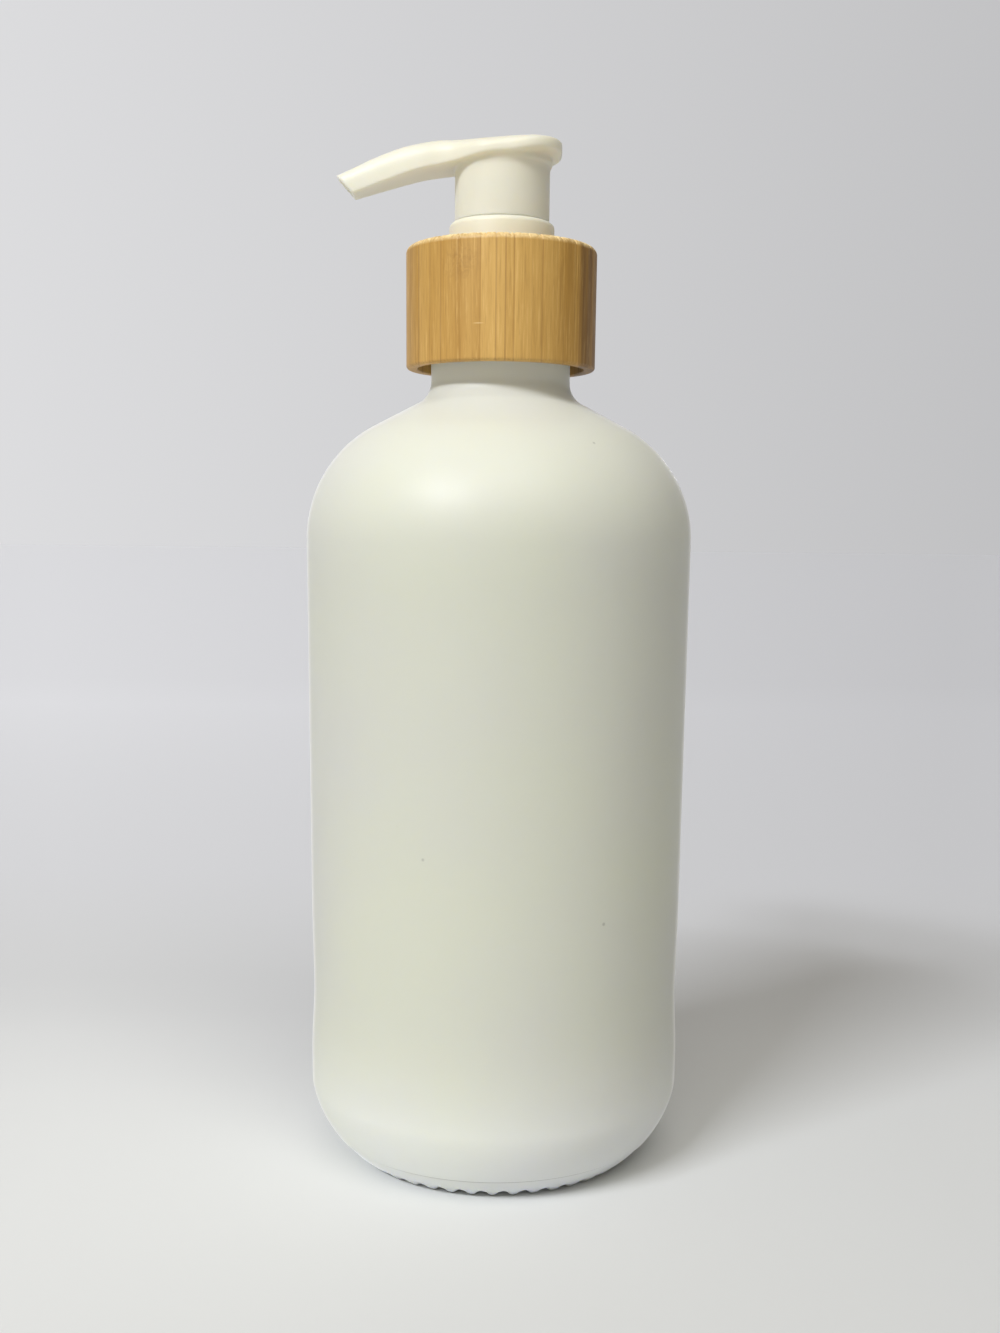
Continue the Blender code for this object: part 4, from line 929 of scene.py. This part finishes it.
def head_stations():
    """All sections, from the lobe's back edge round to its widest and on to the tip."""
    stations = []
    # Closest together at the back, where the outline turns fastest
    for degrees in np.concatenate([np.linspace(3, 30, 15), np.linspace(34, 84, 11)]):
        turn = math.radians(degrees)
        x = LOBE_BACK * math.cos(turn) ** PLAN_POWER
        back = min(1, x / (KICK_SHARE * LOBE_BACK))
        back = back * back * (3 - 2 * back)
        foot = lobe_z + LOBE_KICK * back
        middle = (foot + lobe_top) / 2
        half = (lobe_top - foot) / 2 * math.sin(turn) ** EDGE_POWER
        stations.append((LOBE_HALF_WIDTH * math.sin(turn) ** PLAN_POWER, x, middle - half, x, middle + half,
                         LOBE_CROWN + (BACK_CROWN - LOBE_CROWN) * back, LOBE_KEEL, LOBE_WIDEST))
    spout = np.array([stations[-1]] + spout_stations())
    padded = np.vstack([2 * spout[0] - spout[1], spout, 2 * spout[-1] - spout[-2]])
    for index in range(1, len(spout)):
        before, start, stop, after = padded[index - 1:index + 3]
        for share in np.linspace(0, 1, 6)[1:]:
            stations.append(tuple(0.5 * (2 * start + (stop - before) * share
                                         + (2 * before - 5 * start + 4 * stop - after) * share ** 2
                                         + (3 * start - before - 3 * stop + after) * share ** 3)))
    return stations


def head_section(half_width, foot_x, foot_z, top_x, top_z, crown, keel, widest):
    """One closed section: a crowned upper side over a flatter, square-edged underside."""
    turn = around(SECTION_POINTS)
    up = np.sin(turn)
    power = np.where(up >= 0, crown, keel)
    room = np.where(up >= 0, 1 - widest, widest)
    share = widest + np.sign(up) * np.abs(up) ** power * room
    y = half_width * np.sign(np.cos(turn)) * np.abs(np.cos(turn)) ** power
    return np.stack([foot_x + (top_x - foot_x) * share, y, foot_z + (top_z - foot_z) * share], axis=-1)


skirt_z = ring_top + SKIRT_GAP
inside = (lobe_z + lobe_top) / 2
cavity_top = skirt_z + SKIRT_CAVITY_HEIGHT
socket_top = lobe_z - SOCKET_ROOF
sections = [head_section(*station) for station in head_stations()]
head = skinned("spout_head", np.concatenate(sections).tolist(),
               net(len(sections), SECTION_POINTS, capped=True))
carve(head, turned("skirt", [
    (0, inside), (SKIRT_RADIUS + SKIRT_FLARE / 2, inside),
    (SKIRT_RADIUS + SKIRT_FLARE, lobe_z + SKIRT_FLARE / 2),
    (SKIRT_RADIUS + SKIRT_FLARE / 3, lobe_z - SKIRT_FLARE / 2), (SKIRT_RADIUS, lobe_z - 2 * SKIRT_FLARE),
    (SKIRT_RADIUS, skirt_z), (SKIRT_INNER, skirt_z), (SKIRT_INNER, cavity_top), (SLEEVE_RADIUS, cavity_top),
    (SLEEVE_RADIUS, head_low.z), (0, head_low.z)], around(128)), "UNION")
lug_top = ledge_under - FIT_GAP
lug_tip = math.sqrt(LUG_RADIUS ** 2 - (LUG_WIDTH / 2) ** 2)
carve(head, slab((LUG_WIDTH, 2 * lug_tip, LUG_HEIGHT), (0, 0, lug_top - LUG_HEIGHT / 2)), "UNION")
socket_length = 2 * (socket_top - head_low.z)
carve(head, rod(STEM_GUIDE, socket_length, (0, 0, socket_top - socket_length / 2)))
channel = []
for _, foot_x, foot_z, top_x, top_z, *_ in spout_stations():
    channel.append(Vector((foot_x + (top_x - foot_x) * CHANNEL_SHARE, 0,
                           foot_z + (top_z - foot_z) * CHANNEL_SHARE)))
channel.insert(0, Vector((0, 0, channel[0].z)))
channel.append(channel[-1] + (channel[-1] - channel[-2]))
carve(head, swept("channel", channel, CHANNEL_RADIUS, 32))
riser = channel[0].z - socket_top
carve(head, rod(CHANNEL_RADIUS, 2 * riser, (0, 0, socket_top)))
skin = head.modifiers.new("skin", "REMESH")
skin.mode = "VOXEL"
skin.voxel_size = SKIN
soften = head.modifiers.new("mould radii", "SMOOTH")
soften.factor = 0.5
soften.iterations = SKIN_PASSES
bake(head)
head.data.shade_smooth()
seat(head, CREAM_POLYPROPYLENE, "head", "pump_head")

# Studio: a pale floor that runs out to the horizon under a soft surround, brighter behind
# and to the left. The key is a wide, low strip of lamps at the front left, like a long
# window: sharp shadows up and down, fanned ones sideways. A soft light is high at the front.
FLOOR_HALF = 12.0
# The floor turns bluer over so many metres, and by so much
FLOOR_FAN = 0.3
FLOOR_COOLING = 0.055
# Painted light and shade on the floor: how pale it is behind the bottle's axis, metres back, and tone
FLOOR_LIGHT_TONES = ((0.0, 1.0), (0.022, 0.99), (0.063, 0.935), (0.0875, 0.885), (0.115, 0.86), (0.15, 0.865),
               (0.25, 0.89), (0.8, 0.95), (1.0, 0.925))
KEY_AZIMUTH = math.radians(39)
KEY_WIDTH = math.radians(23.5)
KEY_PARTS = 6
KEY_HEIGHT = math.radians(40)
KEY_SPREAD = math.radians(4.7)
KEY_STRENGTH = 2.1
KEY_COLOUR = (0.975, 0.992, 1.03)
FRONT_AZIMUTH = math.radians(-12)
FRONT_HEIGHT = math.radians(55)
FRONT_SPREAD = math.radians(42)
FRONT_STRENGTH = 1.07
FRONT_COLOUR = (1.0, 0.975, 0.89)
SKY_FRONT = 0.1
SKY_EDGE = 0.27
SKY_BACK = 0.68
SKY_TOP = 0.2
# Where its bands start and end on the way up or back, and its levels at the left and right
SKY_EDGE_BAND = (0.15, 0.5)
SKY_BACK_BAND = (0.6, 0.88)
SKY_TOP_BAND = (0.35, 0.95)
SKY_TONE_BAND = (0.3, 0.6)
SKY_SIDES = (1.4, 0.5)


def matt_paper():
    """Studio paper: pale and matt, with painted light and shade, in tones that meet the surround's at the
    horizon.
    """
    near_far = (0.1, 0.8)
    lit_left_tones, shaded_right_tones = (1.03, 1.072), (0.88, 0.81)
    fan_half = 0.3
    made, tree, shader, where = new_material("paper_matt")
    place = add(tree, "SeparateXYZ", [where]).node.outputs
    tones = add(tree, "ValToRGB", [place["Y"]])
    elements = tones.node.color_ramp.elements
    for stop, tone in FLOOR_LIGHT_TONES:
        element = elements[0] if stop == 0 else elements[-1] if stop == 1 else elements.new(stop)
        element.color = (tone, tone, tone * (1 + FLOOR_COOLING * min(1, stop / FLOOR_FAN)), 1)
    # Painted light: paler to the left, darker to the right, fanning out behind the bottle.
    behind = add(tree, "Math", [place["Y"], 0.0], operation="MAXIMUM")
    reach = add(tree, "Math", [behind, FLOOR_FAN], operation="ADD")
    fan = add(tree, "Math", [place["X"], reach], operation="DIVIDE")
    pale = add(tree, "MapRange", [behind, *near_far, *lit_left_tones])
    shaded_right = add(tree, "MapRange", [behind, *near_far, *shaded_right_tones])
    side = add(tree, "MapRange", [fan, -fan_half, fan_half, pale, shaded_right])
    level = add(tree, "VectorMath", {0: tones, "Scale": side}, operation="SCALE")
    toned = add(tree, "VectorMath", [hex_colour("#e2e4e5")[:3], level], operation="MULTIPLY")
    feed(shader, {"Base Color": toned, "Roughness": 0.9})
    return made


floor = placed("studio_floor", bpy.data.meshes.new("studio_floor"))
floor_corners = ((-1, -1), (1, -1), (1, 1), (-1, 1))
floor.data.from_pydata([(x * FLOOR_HALF, y * FLOOR_HALF, 0) for x, y in floor_corners], [], [(0, 1, 2, 3)])
floor.data.materials.append(matt_paper())

world = bpy.data.worlds.new("surround")
world.use_nodes = True
sky = world.node_tree
sky_place = add(sky, "SeparateXYZ", [add(sky, "TexCoord")]).node.outputs
sky_low = add(sky, "MapRange", [sky_place["Z"], *SKY_EDGE_BAND, SKY_EDGE, SKY_FRONT],
              interpolation_type="SMOOTHSTEP")
sky_back = add(sky, "MapRange", [sky_place["Y"], *SKY_BACK_BAND, sky_low, SKY_BACK],
               interpolation_type="SMOOTHSTEP")
sky_side = add(sky, "MapRange", [sky_place["X"], -1.0, 1.0, *SKY_SIDES])
sky_top = add(sky, "MapRange", [sky_place["Z"], *SKY_TOP_BAND, 0.0, SKY_TOP])
sky_both = add(sky, "Math", [sky_back, sky_top], operation="ADD")
sky_level = add(sky, "Math", [sky_both, sky_side], operation="MULTIPLY")
sky_turn = add(sky, "MapRange", [sky_place["Y"], *SKY_TONE_BAND])
sky_tone = add(sky, "Mix", {0: sky_turn, 6: hex_colour("#fff3e2"), 7: hex_colour("#fcfcfe")}, 2,
               data_type="RGBA")
feed(sky.nodes["Background"], {"Color": sky_tone, "Strength": sky_level})
bpy.context.scene.world = world
bpy.context.scene.view_settings.view_transform = "Standard"


def distant_light(name, azimuth, height, spread, strength, colour):
    """Even light from far off, from an azimuth left of the camera; its spread sets how soft."""
    light = bpy.data.lights.new(name, "SUN")
    light.angle = spread
    light.energy = strength
    light.color = colour
    towards = Vector((-math.sin(azimuth) * math.cos(height), -math.cos(azimuth) * math.cos(height),
                      math.sin(height)))
    placed(name, light).rotation_euler = towards.to_track_quat("Z", "Y").to_euler()


for share in np.linspace(-0.5, 0.5, KEY_PARTS):
    distant_light("key", KEY_AZIMUTH + KEY_WIDTH * share, KEY_HEIGHT, KEY_SPREAD, KEY_STRENGTH / KEY_PARTS,
                  KEY_COLOUR)
distant_light("front", FRONT_AZIMUTH, FRONT_HEIGHT, FRONT_SPREAD, FRONT_STRENGTH, FRONT_COLOUR)

# Camera: at the photograph's angle, worked out from the bottle's edges. The lens is shifted
# up because the photograph is a crop from below the middle of its frame.
CAMERA_PLACE = (0.0, -0.298, 0.1261)
CAMERA_PITCH = math.radians(11.32)
CAMERA_YAW = math.radians(0.157)
CAMERA_ROLL = math.radians(0.6)
CAMERA_NEAR = 0.01
SENSOR_WIDTH = 36
LENS_PIXELS = 1490
FRAME_HEIGHT = 1333
CENTRE_ROW = 832
ahead = Vector((math.sin(CAMERA_YAW) * math.cos(CAMERA_PITCH), math.cos(CAMERA_YAW) * math.cos(CAMERA_PITCH),
                -math.sin(CAMERA_PITCH)))
level = Vector((math.cos(CAMERA_YAW), -math.sin(CAMERA_YAW), 0))
upright = level.cross(ahead)
right = level * math.cos(CAMERA_ROLL) + upright * math.sin(CAMERA_ROLL)
over = upright * math.cos(CAMERA_ROLL) - level * math.sin(CAMERA_ROLL)
camera = placed("camera", bpy.data.cameras.new("camera"))
camera.data.sensor_width = SENSOR_WIDTH
camera.data.lens = SENSOR_WIDTH * LENS_PIXELS / FRAME_HEIGHT
camera.data.shift_y = (CENTRE_ROW - FRAME_HEIGHT / 2) / FRAME_HEIGHT
camera.data.clip_start = CAMERA_NEAR
turned_to = Matrix((right, over, -ahead)).transposed().to_4x4()
camera.matrix_world = Matrix.Translation(CAMERA_PLACE) @ turned_to
bpy.context.scene.camera = camera
